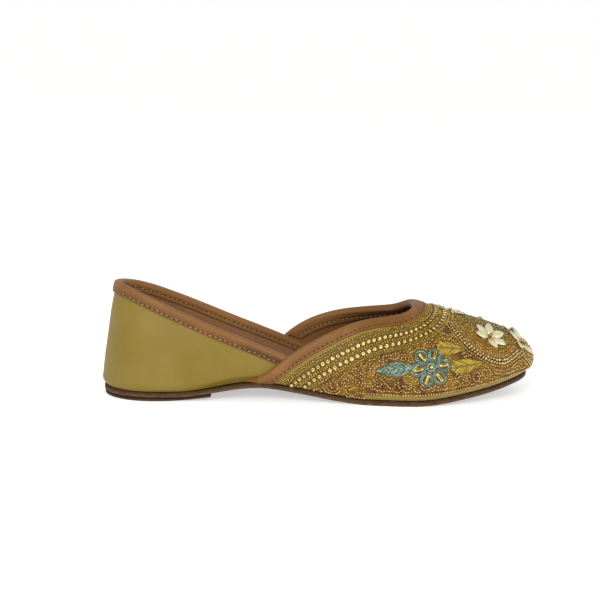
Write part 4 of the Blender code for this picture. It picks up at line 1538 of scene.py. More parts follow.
    def vamp_columns(self) -> tuple[Array, Array]:
        """Return the turns of the vamp's columns and the climb at their upper end."""
        form = self.form
        tip = form.throat_tip
        inner = form.edge_turns(Topline.VAMP, form.vamp_end[1], tip, self.spacing)
        outer = form.edge_turns(Topline.VAMP, form.vamp_end[-1], -tip, self.spacing)
        toe = np.linspace(tip, 1, 66)
        turns = np.concatenate([inner[:-1], toe, 2 - toe[-2::-1], 2 + outer[-2::-1]])
        climbs = form.edge_climb(turns, Topline.VAMP)
        share = form.share_of(turns)
        climbs = np.where(share >= form.share_of(tip) - 1e-9, 1.0, climbs)
        return turns, climbs

    def build_vamp(self, cloth: bpy.types.Material, lining: bpy.types.Material) -> bpy.types.Mesh:
        """Build the vamp, one wall over the toe, closed on its ridge."""
        form = self.form
        turns, tops = self.vamp_columns()
        climbs = self.rows_up_to(tops, self.vamp_rows)
        zero = np.zeros(climbs.shape)
        data = self.wall("vamp_cloth", turns, climbs, zero, zero + self.vamp_layer)
        add_piece(data, "vamp_cloth", cloth, "vamp")
        shell = self.wall(
            "vamp_lining", turns, climbs, zero + self.vamp_layer + self.layer_gap,
            zero + form.vamp_wall,
        )
        add_piece(shell, "vamp_lining", lining)
        return data


# Bindings

@dataclass
class Binding:
    """A strip of leather folded over a topline and stitched down along it."""

    form: LastForm
    name: str
    field: EdgeField
    outer_width: Array
    inner_width: Array
    outer_face: Array
    inner_face: Array
    stitch_inset: float
    inner_stitch_inset: float
    outer_shade: Array
    inner_shade: Array
    inner_painted_highlight: float = 0.95
    pitch: float = 0.0029
    dent: float = 0.00030
    dent_reach: float = 0.00065
    puff: float = 0.00022
    shares: tuple = (
        1.0, 0.985, 0.96, 0.93, 0.89, 0.85, 0.81, 0.77, 0.73, 0.68, 0.60, 0.48, 0.36, 0.24,
        0.12, 0.0,
    )

    def leaf(self, width: Array, inset: float, share: float) -> tuple[Array, Array, Array]:
        """Return a leaf's distance into the wall, its height and its painted shade.

        Args:
            width: the leaf's width at each column.
            inset: how far its stitches lie from its cut edge.
            share: share of the width.

        Returns:
            Distance, height as a share of the leather, and painted shade, darkest in the stitch
            dents.
        """
        distance = width * share
        cut = {1.0: 0.30, 0.985: 0.74, 0.96: 0.93}.get(share, 1.0)
        seam = width - inset
        across = (distance - seam) / self.dent_reach
        phase = (self.field.lengths / self.pitch + 0.5) % 1.0 - 0.5
        along = phase * self.pitch / self.dent_reach
        full = ease(width / 0.004)
        hole = np.exp(-(across**2) * 2.2 - along**2 * 2.2) * full
        groove = np.exp(-((across / 1.9) ** 2)) * full
        height = cut * self.form.binding_leather - self.dent * hole - 0.10e-3 * groove
        swell = np.sin(math.pi * np.clip(distance / np.maximum(seam, 1e-4), 0, 1)) ** 0.8
        height = height + self.puff * swell * full * (distance < seam)
        # Painted shade: darker in the dents of the needle holes and along the stitch groove.
        return distance, height, np.clip(hole * 1.1 + groove * 0.16, 0, 1)

    def build(self, finish: bpy.types.Material) -> None:
        """Build the strip as one closed mesh."""
        form = self.form
        count = len(self.field.turns)
        outside = self.outer_face + form.cover_gap
        inside = self.inner_face - form.cover_gap
        middle = (outside + inside) / 2
        half = (outside - inside) / 2
        rows: list[tuple[Array, Array, Array, Array]] = []
        none = np.zeros(count)
        for share in self.shares:
            distance, height, painted_shade = self.leaf(self.outer_width, self.stitch_inset, share)
            # Painted shade on the outer leaf, growing from the fold towards its cut edge.
            painted_shade = np.clip(painted_shade + self.outer_shade * ease(share / 0.55), 0, 1)
            # Painted highlight on the outer leaf, next to the fold.
            rows.append((distance, outside + height, painted_shade, none + 0.35 * (1 - ease(share / 0.5))))
        over = form.gap + form.binding_leather
        for angle in np.linspace(0, math.pi, 13)[1:-1]:
            out = middle + (half + form.binding_leather) * math.cos(angle)
            # Painted highlight along the rolled fold, brighter on its inside half.
            fold = none + max(0.35, math.sin(angle)) * (1 if angle < 1.6 else self.inner_painted_highlight + 0.2)
            # Painted shade over the fold, growing towards the inside face.
            shade = self.inner_shade * angle / math.pi
            rows.append((none - over * math.sin(angle), out, shade, fold))
        for share in reversed(self.shares):
            distance, height, painted_shade = self.leaf(self.inner_width, self.inner_stitch_inset, share)
            # Painted shade on the inside face.
            painted_shade = np.clip(painted_shade + self.inner_shade, 0, 1)
            # Painted highlight over the whole inside face.
            rows.append((distance, inside - height, painted_shade, none + self.inner_painted_highlight))
        for distance, out in (
            (self.inner_width, inside), (self.inner_width / 2, inside), (none - form.gap, inside),
            (none - form.gap, outside), (self.outer_width / 2, outside),
            (self.outer_width, outside),
        ):
            rows.append((distance, out, none, none))
        rows.append(rows[0])
        columns = np.arange(count, dtype=float)
        places = np.zeros((count, len(rows), 3))
        painted_shades = np.zeros((count, len(rows)))
        painted_highlights = np.zeros((count, len(rows)))
        for row, (distance, out, painted_shade, edge_wear_and_highlight) in enumerate(rows):
            point, _ = self.field.place(columns, distance, out)
            places[:, row] = point
            painted_shades[:, row] = painted_shade
            painted_highlights[:, row] = edge_wear_and_highlight
        mesh, number = grid(count, len(rows))
        lay(mesh, number, places)
        merge(mesh)
        close_rims(mesh)
        data = to_data(mesh, self.name, sharp=60)
        numbers = corner_numbers(data)
        point_attribute(data, "painted_shade", painted_shades.ravel()[numbers])
        point_attribute(data, "edge_wear_and_highlight", painted_highlights.ravel()[numbers] * 0.8)
        add_piece(data, self.name, finish, self.name)


# Ornament of the vamp

def place_of(form: LastForm, along: float, climb: float, side: int) -> Vector:
    """Return a point of the last by its share of the length and its climb."""
    turn = side * form.turn_of(min(max(along, 0.0), 1.0))
    return Vector(form.skin(turn, climb))


class Drape:
    """The vamp's outer face, on which ornament is laid."""

    def __init__(self, form: LastForm, upper: Upper, edge: EdgeField) -> None:
        """Measure the face.

        Args:
            form: the last.
            upper: the upper, which gives the face's columns and rows.
            edge: the field of the throat's edge.
        """
        self.form = form
        self.edge = edge
        self.turns, tops = upper.vamp_columns()
        self.climbs = upper.rows_up_to(tops, upper.vamp_rows)
        spread = np.broadcast_to(self.turns[:, None], self.climbs.shape)
        self.places = form.skin(spread, self.climbs)
        self.normals = form.normal(spread, self.climbs)
        steps = np.diff(self.places, axis=1, prepend=self.places[:, :1])
        self.rise = np.cumsum(np.linalg.norm(steps, axis=2), axis=1)
        flat = self.places.reshape(-1, 3)
        rim = edge.points[::4, 0]
        self.throat = np.empty(len(flat))
        for start in range(0, len(flat), 4000):
            part = flat[start:start + 4000, None] - rim[None]
            self.throat[start:start + 4000] = np.sqrt((part**2).sum(2)).min(1)
        self.throat = self.throat.reshape(self.rise.shape)
        self.rows = self.climbs.shape[1]
        faces = []
        for column in range(len(self.turns) - 1):
            start = column * self.rows
            for row in range(self.rows - 1):
                first = start + row
                faces.append((first, first + self.rows, first + self.rows + 1, first + 1))
        self.faces = faces
        self.tree = BVHTree.FromPolygons(flat.tolist(), faces)
        self.flat_normals = self.normals.reshape(-1, 3)
        self.flat_places = flat
        self.flat_rise = self.rise.ravel()
        self.flat_throat = self.throat.ravel()
        self.flat_climb = self.climbs.ravel()
        self.flat_turn = np.abs(form.wrap(spread.ravel()))

    def settle(self, point: Vector) -> tuple[Vector, Vector, int]:
        """Return the face's nearest point, its normal and the corner nearest to it."""
        place, _, index, _ = self.tree.find_nearest(point)
        corners = list(self.faces[index])
        away = np.linalg.norm(self.flat_places[corners] - np.array(place), axis=1)
        weight = 1 / (away + 1e-5)
        normal = (self.flat_normals[corners] * weight[:, None]).sum(0)
        return place, Vector(normal).normalized(), corners[int(away.argmin())]

    def lay_line(self, points: list[Vector]) -> tuple[Array, Array, Array]:
        """Lay a line of points on the face; give places, directions and normals."""
        settled = [self.settle(point)[:2] for point in points]
        places = np.array([place for place, _ in settled])
        normals = np.array([normal for _, normal in settled])
        return places, np.gradient(places, axis=0), normals

    def row(self, width: float, pitch: float, rise: float = 0.0007) -> tuple[Array, Array, Array]:
        """Return even stops on a line that keeps its distance to the throat's edge.

        Args:
            width: the distance.
            pitch: from stop to stop.
            rise: how high over the sole the line ends.

        Returns:
            Places, directions and normals.
        """
        columns = np.arange(len(self.edge.turns), dtype=float)
        places, normals = self.edge.place(columns, np.full(len(columns), width), 0.0)
        levels = self.edge.between(self.edge.levels, columns, np.full(len(columns), width))
        high = places[:, 2] - self.form.sole_top(places[:, 0]) > rise + self.form.gap
        kept = np.flatnonzero(high & (levels > 0.004))
        places, normals = places[kept[0]:kept[-1] + 1], normals[kept[0]:kept[-1] + 1]
        return spaced(places, normals, pitch)

    def ring(self, rise: float, first: float, pitch: float) -> tuple[Array, Array, Array]:
        """Return even stops on a line that keeps its height over the sole, round the toe."""
        share = self.form.share_of(self.turns)
        kept = np.flatnonzero(share > first)
        places, normals = [], []
        for column in kept:
            climb = np.interp(rise, self.rise[column], self.climbs[column])
            places.append(self.form.skin(self.turns[column], climb))
            normals.append(self.form.normal(self.turns[column], climb))
        return spaced(np.array(places), np.array(normals), pitch)


def spaced(places: Array, normals: Array, pitch: float) -> tuple[Array, Array, Array]:
    """Return stops a pitch apart along a line, with directions and normals."""
    lengths = run_lengths(places)
    stops = np.arange(pitch / 2, lengths[-1], pitch)
    points = np.stack([np.interp(stops, lengths, places[:, axis]) for axis in range(3)], 1)
    ups = np.stack([np.interp(stops, lengths, normals[:, axis]) for axis in range(3)], 1)
    return points, np.gradient(points, axis=0), unit(ups)


class Taken:
    """Room on the cloth that ornament has taken, looked up by place."""

    def __init__(self, cell: float = 0.003) -> None:
        """Start with nothing taken."""
        self.cell = cell
        self.spots: dict[tuple[int, int, int], list[tuple[float, float, float, float]]] = {}

    def key(self, point: Vector) -> tuple[int, int, int]:
        """Return the cell that a point lies in."""
        return tuple(int(math.floor(part / self.cell)) for part in point)

    def take(self, points: Array, radius: float) -> None:
        """Take the room round points."""
        for point in np.atleast_2d(points):
            spot = (float(point[0]), float(point[1]), float(point[2]), radius)
            self.spots.setdefault(self.key(point), []).append(spot)

    def free(self, point: Vector, radius: float, besides: Array | None = None) -> bool:
        """Return whether a radius round a point is free, but for some points."""
        x, y, z = (float(part) for part in point)
        middle = self.key(point)
        for i in (-1, 0, 1):
            for j in (-1, 0, 1):
                for k in (-1, 0, 1):
                    cell = self.spots.get((middle[0] + i, middle[1] + j, middle[2] + k), ())
                    for a, b, c, size in cell:
                        away = (a - x) ** 2 + (b - y) ** 2 + (c - z) ** 2
                        if away < (radius + size) ** 2:
                            own = besides is not None and any(
                                abs(a - p[0]) + abs(b - p[1]) + abs(c - p[2]) < 1e-6
                                for p in besides
                            )
                            if not own:
                                return False
        return True


@dataclass
class Needlework:
    """What every part of the ornament needs: the face, the room taken and the beads."""

    drape: Drape
    taken: Taken
    seeds: Copies
    copper: Copies
    gold: Copies
    silver: Copies
    bugles: Copies
    teal: Copies
    pale_teal: Copies
    silk: Copies
    vein: Copies
    sequins: Copies
    grey: Copies
    dark: Copies
    chance: np.random.Generator = field(default_factory=lambda: np.random.default_rng(11))

    def string(
        self, lot: Copies, line: tuple[Array, Array, Array], size: float, sink: float = 0.12,
        flat: float = 0.85, room: float = 0.5, loose: float = 0.07,
    ) -> None:
        """Sew beads along a line.

        Args:
            lot: the kind of bead.
            line: places, directions and normals.
            size: the beads' width.
            sink: share of the height that lies in the cloth.
            flat: height as a share of the width.
            room: radius of the room that each takes, as a share of its width.
            loose: how unevenly they lie, as a share of the width.
        """
        points, runs, normals = line
        count = len(points)
        across = unit(np.cross(normals, runs))
        points = points + across * self.chance.normal(0, size * loose, count)[:, None]
        points = points + unit(runs) * self.chance.normal(0, size * loose * 0.6, count)[:, None]
        each = size * (1 + self.chance.normal(0, loose * 0.9, count))
        normals = unit(normals + across * self.chance.normal(0, loose * 1.5, count)[:, None])
        centres = points + normals * size * flat * (0.5 - sink)
        lot.add(centres, runs, normals, (each, each, each * flat))
        self.taken.take(points, size * room)

    def frame(self, centre: Vector, aim: Vector) -> tuple[Vector, Vector, Vector]:
        """Return a place on the face with its directions towards an aim and across it."""
        place, normal, _ = self.drape.settle(centre)
        ahead = (aim - place) - normal * (aim - place).dot(normal)
        ahead.normalize()
        return place, ahead, normal.cross(ahead)

    def lay_bits(
        self, lot: Copies, frame: tuple, bits: list[tuple], size: tuple, sink: float = 0.2,
        lift: float = 0.0,
    ) -> None:
        """Lay long pieces, each with its middle, its angle and its length.

        Args:
            lot: the kind of piece.
            frame: the drawing's frame on the face.
            bits: middle along and across, angle and length.
            size: width and height.
            sink: share of the height that lies in the cloth.
            lift: further height over the cloth.
        """
        place, ahead, across = frame
        for x, y, angle, length in bits:
            point, normal, _ = self.drape.settle(place + ahead * x + across * y)
            run = ahead * math.cos(angle) + across * math.sin(angle)
            centre = point + normal * (size[1] * (0.5 - sink) + lift)
            lot.add(centre, run, normal, (length, size[0], size[1]))
            for part in (-0.35, 0.0, 0.35):
                self.taken.take(point + run * length * part, size[0] * 0.5)


@dataclass
class ThroatBorder:
    """Rows of seed beads and domed gold beads that run along the throat."""

    work: Needlework
    seed_rows: tuple = (0.0074, 0.0087, 0.0101, 0.0146, 0.0158, 0.0194, 0.0207)
    gold_rows: tuple = ((0.0127, 0.0031), (0.0177, 0.0034))
    seed_size: float = 0.00115
    seed_pitch: float = 0.00145
    gold_size: float = 0.00270
    hem_rise: float = 0.0052
    hem_start: float = 0.575

    def build(self) -> None:
        """Sew the rows on, the gold ones first."""
        drape = self.work.drape
        for width, pitch in self.gold_rows:
            beads = drape.row(width, pitch)
            self.work.string(self.work.gold, beads, self.gold_size, flat=0.72, loose=0.035)
        for width in self.seed_rows:
            beads = drape.row(width, self.seed_pitch)
            self.work.string(self.work.seeds, beads, self.seed_size, loose=0.11)
        hem = drape.ring(self.hem_rise, self.hem_start, self.seed_pitch * 1.08)
        self.work.string(self.work.copper, hem, self.seed_size * 1.05)


class Stop(NamedTuple):
    """A place on the vamp: share of the length, and climb."""

    along: float
    climb: float


@dataclass
class ToeMotif:
    """Ogee over the toe: two chains of large beads between rows of seeds, on both sides."""

    work: Needlework
    stops: tuple = (
        Stop(0.862, 1.000), Stop(0.848, 0.880), Stop(0.836, 0.760), Stop(0.832, 0.620),
        Stop(0.844, 0.480), Stop(0.871, 0.372), Stop(0.898, 0.302), Stop(0.921, 0.285),
        Stop(0.944, 0.335), Stop(0.962, 0.388),
    )
    toe_stops: tuple = (Stop(0.962, 0.388), Stop(0.974, 0.275), Stop(0.988, 0.150))
    bead: float = 0.00175
    pitch: float = 0.00190
    chain_offset: float = 0.00088
    clear: float = 0.0212
    seed: float = 0.00112
    seed_offsets: tuple = (-0.0027, 0.0027, 0.0040)

    def path(self, stops: tuple, side: int) -> list[Vector]:
        """Return a smooth line through stops, laid on the last."""
        form = self.work.drape.form
        points = np.array([place_of(form, stop.along, stop.climb, side) for stop in stops])
        lengths = run_lengths(points)
        lines = [NaturalLine(list(lengths), list(points[:, axis])) for axis in range(3)]
        places = np.arange(0, lengths[-1], 0.0006)
        return [Vector(point) for point in np.stack([line(places) for line in lines], 1)]

    def beside(self, line: list[Vector], offset: float, pitch: float, start: float = 0.0) -> tuple:
        """Return stops on a line moved sideways by an offset."""
        places, runs, normals = self.work.drape.lay_line(line)
        side = unit(np.cross(normals, runs))
        moved, _, ups = self.work.drape.lay_line([Vector(p) for p in places + side * offset])
        points, along, ups = spaced(moved, ups, pitch)
        if start:
            points = points + unit(along) * start
        return points, along, ups

    def build(self) -> None:
        """Sew the chains and their seed rows on both sides."""
        for side in (-1, 1):
            for stops in (self.stops, self.toe_stops):
                line = [
                    point for point in self.path(stops, side)
                    if self.work.drape.flat_throat[self.work.drape.settle(point)[2]] > self.clear
                ]
                for offset, lot, start in (
                    (-self.chain_offset, self.work.gold, 0.0),
                    (self.chain_offset, self.work.silver, self.pitch / 2),
                ):
                    beads = self.beside(line, offset, self.pitch, start)
                    self.work.string(lot, beads, self.bead, room=0.45, flat=0.8, loose=0.05)
                for offset in self.seed_offsets:
                    seeds = self.beside(line, offset, self.seed * 1.25)
                    kept = [
                        k for k, point in enumerate(seeds[0])
                        if self.work.taken.free(point, self.seed * 0.25)
                    ]
                    self.work.string(
                        self.work.copper, tuple(part[kept] for part in seeds), self.seed
                    )

    def inside(self, along: Array, climb: Array) -> Array:
        """Return which places lie inside the ogee."""
        outline = [(stop.along, stop.climb) for stop in self.stops + self.toe_stops[1:]]
        outline += [(1.02, 0.10), (1.02, 1.3), (self.stops[0].along, 1.3)]
        found = np.zeros(np.shape(along), bool)
        for (a, b), (c, d) in zip(outline, outline[1:] + outline[:1]):
            crosses = (b > climb) != (d > climb)
            with np.errstate(divide="ignore", invalid="ignore"):
                reach = (c - a) * (climb - b) / (d - b) + a
            found ^= crosses & (along < reach)
        return found


@dataclass
class TealFlower:
    """Flower with six looped petals of teal glass, a gold bugle in each, and its leaf."""

    work: Needlework
    middle: Stop = Stop(0.743, 0.292)
    leaf_tip: Stop = Stop(0.622, 0.240)
    leaf_base: Stop = Stop(0.701, 0.288)
    petals: int = 6
    first_angle: float = math.radians(8)
    petal_near: float = 0.0030
    petal_far: float = 0.0114
    petal_half_width: float = 0.0034
    glass: float = 0.00080
    glass_length: float = 0.0021
    bugle_length: float = 0.0053
    bugle_width: float = 0.0022
    bugle_reach: float = 0.0072
    leaf_half_width: float = 0.0043

    def petal_line(self, angle: float, scale: float) -> list[tuple[float, float]]:
        """Return a petal's loop in the flower's own plane."""
        middle = (self.petal_near + self.petal_far) / 2
        half = (self.petal_far - self.petal_near) / 2 * scale
        points = []
        for step in range(20):
            turn = 2 * math.pi * step / 20
            x = middle + half * math.cos(turn)
            y = self.petal_half_width * scale * math.sin(turn) * (1 + 0.22 * math.cos(turn))
            cosine, sine = math.cos(angle), math.sin(angle)
            points.append((x * cosine - y * sine, x * sine + y * cosine))
        return points

    def loop_bits(self, line: list[tuple[float, float]], pitch: float) -> list[tuple]:
        """Return the bits that follow a closed line."""
        points = np.array(line + line[:1])
        lengths = run_lengths(points)
        count = max(int(round(lengths[-1] / pitch)), 4)
        bits = []
        for k in range(count):
            low, high = (lengths[-1] * (k + part) / count for part in (0.0, 1.0))
            a = [np.interp(low, lengths, points[:, axis]) for axis in range(2)]
            b = [np.interp(high, lengths, points[:, axis]) for axis in range(2)]
            angle = math.atan2(b[1] - a[1], b[0] - a[0])
            length = math.hypot(b[0] - a[0], b[1] - a[1]) * 0.94
            bits.append(((a[0] + b[0]) / 2, (a[1] + b[1]) / 2, angle, length))
        return bits

    def build(self) -> None:
        """Sew the flower and its leaf on both sides."""
        form = self.work.drape.form
        for side in (-1, 1):
            middle = place_of(form, *self.middle, side)
            ahead = place_of(form, self.middle.along + 0.02, self.middle.climb, side)
            frame = self.work.frame(middle, ahead)
            frame = (frame[0], frame[1], frame[2] * -side)
            for petal in range(self.petals):
                angle = self.first_angle + 2 * math.pi * petal / self.petals
                for scale, share in ((1.0, 0.30), (0.76, 0.45)):
                    bits = self.loop_bits(self.petal_line(angle, scale), self.glass_length)
                    for x, y, slant, long in bits:
                        slant += self.work.chance.normal(0, 0.10)
                        pale = self.work.chance.random() < share
                        lot = self.work.pale_teal if pale else self.work.teal
                        self.work.lay_bits(
                            lot, frame, [(x, y, slant, long)], (self.glass, self.glass),
                            lift=0.0002 * pale,
                        )
                reach = self.bugle_reach
                bit = (reach * math.cos(angle), reach * math.sin(angle), angle, self.bugle_length)
                self.work.lay_bits(
                    self.work.bugles, frame, [bit], (self.bugle_width, self.bugle_width),
                    lift=0.0003,
                )
                slit = (*bit[:3], self.bugle_length * 0.62)
                self.work.lay_bits(
                    self.work.dark, frame, [slit], (0.0006, 0.0006), sink=0.5,
                    lift=0.0003 + self.bugle_width * 0.80,
                )
            ring = [(0.0022 * math.cos(0.7 * k), 0.0022 * math.sin(0.7 * k)) for k in range(9)]
            self.work.lay_bits(
                self.work.pale_teal, frame, self.loop_bits(ring, 0.0013), (0.0013, 0.0013)
            )
            self.work.lay_bits(
                self.work.gold, frame, [(0, 0, 0, 0.0022)], (0.0022, 0.0020), lift=0.0004
            )
            self.build_leaf(side)

    def build_leaf(self, side: int) -> None:
        """Lay the leaf: a midrib with slanting bits of glass on both sides of it."""
        form = self.work.drape.form
        tip = place_of(form, *self.leaf_tip, side)
        base = place_of(form, *self.leaf_base, side)
        frame = self.work.frame(tip, base)
        length = (base - tip).length
        pairs = 14
        bits, pale = [], []
        for k in range(pairs):
            part = (k + 0.6) / pairs
            wide = self.leaf_half_width * math.sin(math.pi * part**1.45) ** 0.85
            for way in (-1, 1):
                for lane in (0.28, 0.74):
                    slant = way * (0.42 + 0.30 * (1 - part)) + self.work.chance.normal(0, 0.16)
                    place = length * part + self.work.chance.normal(0, 0.0003)
                    bit = (place, way * wide * lane, -slant, wide * 0.62 + 0.0009)
                    (pale if self.work.chance.random() < 0.34 else bits).append(bit)
            if k % 2:
                pale.append((length * part, 0.0, 0.0, length / pairs * 1.3))
        self.work.lay_bits(self.work.teal, frame, bits, (0.00090, 0.0009))
        self.work.lay_bits(self.work.pale_teal, frame, pale, (0.00085, 0.0009), lift=0.0003)
        stalk = [
            (length + 0.0010 + 0.0011 * k, 0.0012 * (k - 1), 1.2 - 0.7 * k, 0.0024)
            for k in range(3)
        ]
        self.work.lay_bits(self.work.silver, frame, stalk, (0.0010, 0.0010))


@dataclass
class SilkLeaves:
    """Two leaves of slanting satin stitches in bright silk, with their veins."""

    work: Needlework
    leaves: tuple = (
        (Stop(0.770, 0.452), Stop(0.833, 0.432), 0.0047),
        (Stop(0.793, 0.275), Stop(0.868, 0.300), 0.0045),
    )
    stitch: float = 0.00090
    sprig: tuple = (Stop(0.824, 0.395), Stop(0.838, 0.420), 0.0036)

    def build(self) -> None:
        """Work the leaves on both sides."""
        form = self.work.drape.form
        for side in (-1, 1):
            for tip, base, half_width in self.leaves:
                start = place_of(form, *tip, side)
                end = place_of(form, *base, side)
                frame = self.work.frame(start, end)
                length = (end - start).length
                count = int(length / (self.stitch * 1.25))
                bits, veins = [], []
                for k in range(count):
                    part = (k + 0.5) / count
                    wide = half_width * math.sin(math.pi * part) ** 0.72
                    wide *= 1 - 0.20 * abs(math.sin(3 * math.pi * part)) + 0.10 * math.sin(9.1 * k)
                    for way in (-1, 1):
                        slant = way * math.radians(36 + 5 * math.sin(4.7 * k + way))
                        long = wide / math.sin(abs(slant)) * 0.85 + 0.0006
                        x = length * part - long * 0.32
                        bits.append((x, way * wide * 0.52, -slant, long))
                    if k % 5 == 1:
                        for way in (-1, 1):
                            vein = (length * part, way * wide * 0.55, -way * 0.66, wide * 1.3)
                            veins.append(vein)
                self.work.lay_bits(self.work.silk, frame, bits, (self.stitch, 0.0008), sink=0.25)
                self.work.lay_bits(
                    self.work.vein, frame, veins, (0.00045, 0.0005), sink=0.1, lift=0.0005
                )
                rib = [(length * (k + 0.5) / 8, 0.0, 0.0, length / 8 * 1.1) for k in range(8)]
                self.work.lay_bits(
                    self.work.vein, frame, rib, (0.0006, 0.0006), sink=0.1, lift=0.0005
                )
            start = place_of(form, *self.sprig[0], side)
            frame = self.work.frame(start, place_of(form, *self.sprig[1], side))
            self.work.lay_bits(
                self.work.silver, frame, [(0, 0, 0, self.sprig[2])], (0.0014, 0.0014), lift=0.0005
            )


@dataclass
class SequinFlowers:
    """Flowers of clear marquise sequins, each held by a bead in its middle."""

    work: Needlework
    side_flower: Stop = Stop(0.917, 0.600)
    side_angles: tuple = (149, 193, 281, 330, 28, 88)
    toe_flower: Stop = Stop(0.988, 0.520)
    toe_angles: tuple = (175, 245, 310, 115)
    ridge_flower: Stop = Stop(0.905, 1.000)
    length: float = 0.0094
    width: float = 0.0056
    reach: float = 0.0057
    thickness: float = 0.0011

    def petals(self, frame: tuple, degrees: tuple, reach: float, lift: float) -> None:
        """Sew sequins round a frame's middle, at angles in degrees."""
        place, ahead, across = frame
        for angle in np.radians(degrees):
            run = ahead * math.cos(angle) + across * math.sin(angle)
            point, up, _ = self.work.drape.settle(place + run * reach)
            run = (run + up * 0.16).normalized()
            up = (up - run * up.dot(run)).normalized()
            self.work.sequins.add(
                point + up * lift, run, up, (self.length, self.width, self.thickness)
            )
            self.work.taken.take(point, self.width * 0.3)
        centre, up, _ = self.work.drape.settle(place)
        self.work.gold.add(centre + up * 0.0014, ahead, up, (0.0021, 0.0021, 0.0018))
        self.work.taken.take(centre, 0.0010)

    def build(self) -> None:
        """Sew on the flowers at the sides, over the toe and on the ridge."""
        form = self.work.drape.form
        for side in (-1, 1):
            for spot, degrees in (
                (self.side_flower, self.side_angles), (self.toe_flower, self.toe_angles)
            ):
                middle = place_of(form, *spot, side)
                frame = self.work.frame(middle, middle + Vector((0.01, 0, 0)))
                frame = (frame[0], frame[1], frame[2] * -side)
                self.petals(frame, degrees, self.reach, 0.0010)
        middle = place_of(form, *self.ridge_flower, 1)
        frame = self.work.frame(middle, middle + Vector((0.01, 0, 0)))
        self.petals(frame, (45, 135, 225, 315), self.reach, 0.0009)
        rays = [
            (0.0066 * math.cos(angle), 0.0066 * math.sin(angle), angle, 0.0050)
            for angle in (0.0, math.pi / 2, math.pi, -math.pi / 2)
        ]
        self.work.lay_bits(self.work.bugles, frame, rays, (0.0012, 0.0012), lift=0.0006)


def marquise() -> tuple[bmesh.types.BMesh, Array]:
    """Return a domed sequin, pointed at both ends, and how near its corners are to its rim."""
    mesh = bmesh.new()
    bmesh.ops.create_circle(mesh, cap_ends=True, segments=16, radius=0.5)
    for _ in range(2):
        inner = [face for face in mesh.faces if len(face.verts) == 16]
        bmesh.ops.inset_region(mesh, faces=inner, thickness=0.13, use_even_offset=False)
    middle = [face for face in mesh.faces if len(face.verts) == 16]
    bmesh.ops.poke(mesh, faces=middle)
    mesh.verts.ensure_lookup_table()
    near = np.array([min(corner.co.length / 0.5, 1.0) for corner in mesh.verts])
    for corner in mesh.verts:
        far = min(corner.co.length / 0.5, 1.0)
        way = abs(corner.co.x) / max(corner.co.length, 1e-6)
        corner.co.y *= 1 - 0.55 * (way * far) ** 2.4
        corner.co.z = 0.5 * (1 - far**2) + 0.28 * (far > 0.9)
    pulled = bmesh.ops.extrude_face_region(mesh, geom=mesh.faces[:], use_keep_orig=True)
    lower = [part for part in pulled["geom"] if isinstance(part, bmesh.types.BMVert)]
    bmesh.ops.translate(mesh, verts=lower, vec=(0, 0, -0.25))
    bmesh.ops.recalc_face_normals(mesh, faces=mesh.faces)
    mesh.verts.ensure_lookup_table()
    return mesh, np.concatenate([near, near])


@dataclass
class Vermicelli:
    """Curling lines of seed beads that fill the ground between the ornaments."""

    work: Needlework
    motif: ToeMotif
    size: float = 0.00118
    pitch: float = 0.00138
    apart: float = 0.00182
    tight: float = 0.0015
    wide: float = 0.0034
    throat_gap: float = 0.0219
    rear_rise: float = 0.0009
    front_rise: float = 0.0061
    own_room: float = 0.42
    start_room: float = 0.5
    path_room: float = 0.62
    turn_chance: float = 0.16
    line_beads: tuple = (7, 30)
    tries: int = 5200
    seed: int = 20

    def allowed(self, corner: int) -> bool:
        """Return whether the ground at a corner of the face is for beads."""
        drape = self.work.drape
        along = float(drape.form.share_of(drape.flat_turn[corner]))
        low = self.rear_rise if along < 0.60 else self.front_rise
        return bool(drape.flat_throat[corner] > self.throat_gap and drape.flat_rise[corner] > low)

    def build(self) -> None:
        """Sew the lines, each until it runs out of room."""
        drape, taken = self.work.drape, self.work.taken
        chance = np.random.default_rng(self.seed)
        share = drape.form.share_of(drape.flat_turn)
        inside = self.motif.inside(share, drape.flat_climb)
        clear = drape.flat_throat > self.throat_gap
        starts = np.flatnonzero(clear & (drape.flat_rise > self.rear_rise))
        weights = np.full(len(starts), 1 / len(starts))
        lots = {"field": ([], [], []), "motif": ([], [], []), "grey": ([], [], [])}
        for start in chance.choice(starts, self.tries, p=weights):
            if not self.allowed(start):
                continue
            point = Vector(drape.flat_places[start])
            if not taken.free(point, self.apart * self.start_room):
                continue
            point, normal, corner = drape.settle(point)
            heading = normal.orthogonal().normalized()
            heading.rotate(Matrix.Rotation(chance.uniform(0, 2 * math.pi), 3, normal))
            bend = chance.choice((-1, 1)) / chance.uniform(self.tight, self.wide)
            before: list[Vector] = []
            for _ in range(int(chance.integers(*self.line_beads))):
                kind = "field"
                if inside[corner]:
                    front = float(drape.flat_climb[corner]) > 0.66 and share[corner] > 0.90
                    kind = "grey" if front else "motif"
                for part, value in zip(lots[kind], (point, heading, normal)):
                    part.append(tuple(value))
                taken.take(np.array(point), self.size * self.own_room)
                before = (before + [tuple(point)])[-2:]
                if chance.random() < self.turn_chance:
                    bend = -math.copysign(1, bend) / chance.uniform(self.tight, self.wide)
                found = False
                for extra in (0.0, 0.5, -0.5, 1.0, -1.0, 1.5, -1.5):
                    aim = heading.copy()
                    aim.rotate(Matrix.Rotation(bend * self.pitch + extra, 3, normal))
                    after, up, near = drape.settle(point + aim * self.pitch)
                    if self.allowed(near) and taken.free(
                        after, self.apart * self.path_room, before
                    ):
                        found = True
                        break
                if not found:
                    break
                heading = (after - point).normalized()
                point, normal, corner = after, up, near
        kinds = {"field": self.work.copper, "motif": self.work.seeds, "grey": self.work.grey}
        for kind, parts in lots.items():
            points, runs, normals = (np.array(part) for part in parts)
            lift = normals * self.size * 0.33
            kinds[kind].add(points + lift, runs, normals, (self.size, self.size, self.size * 0.85))


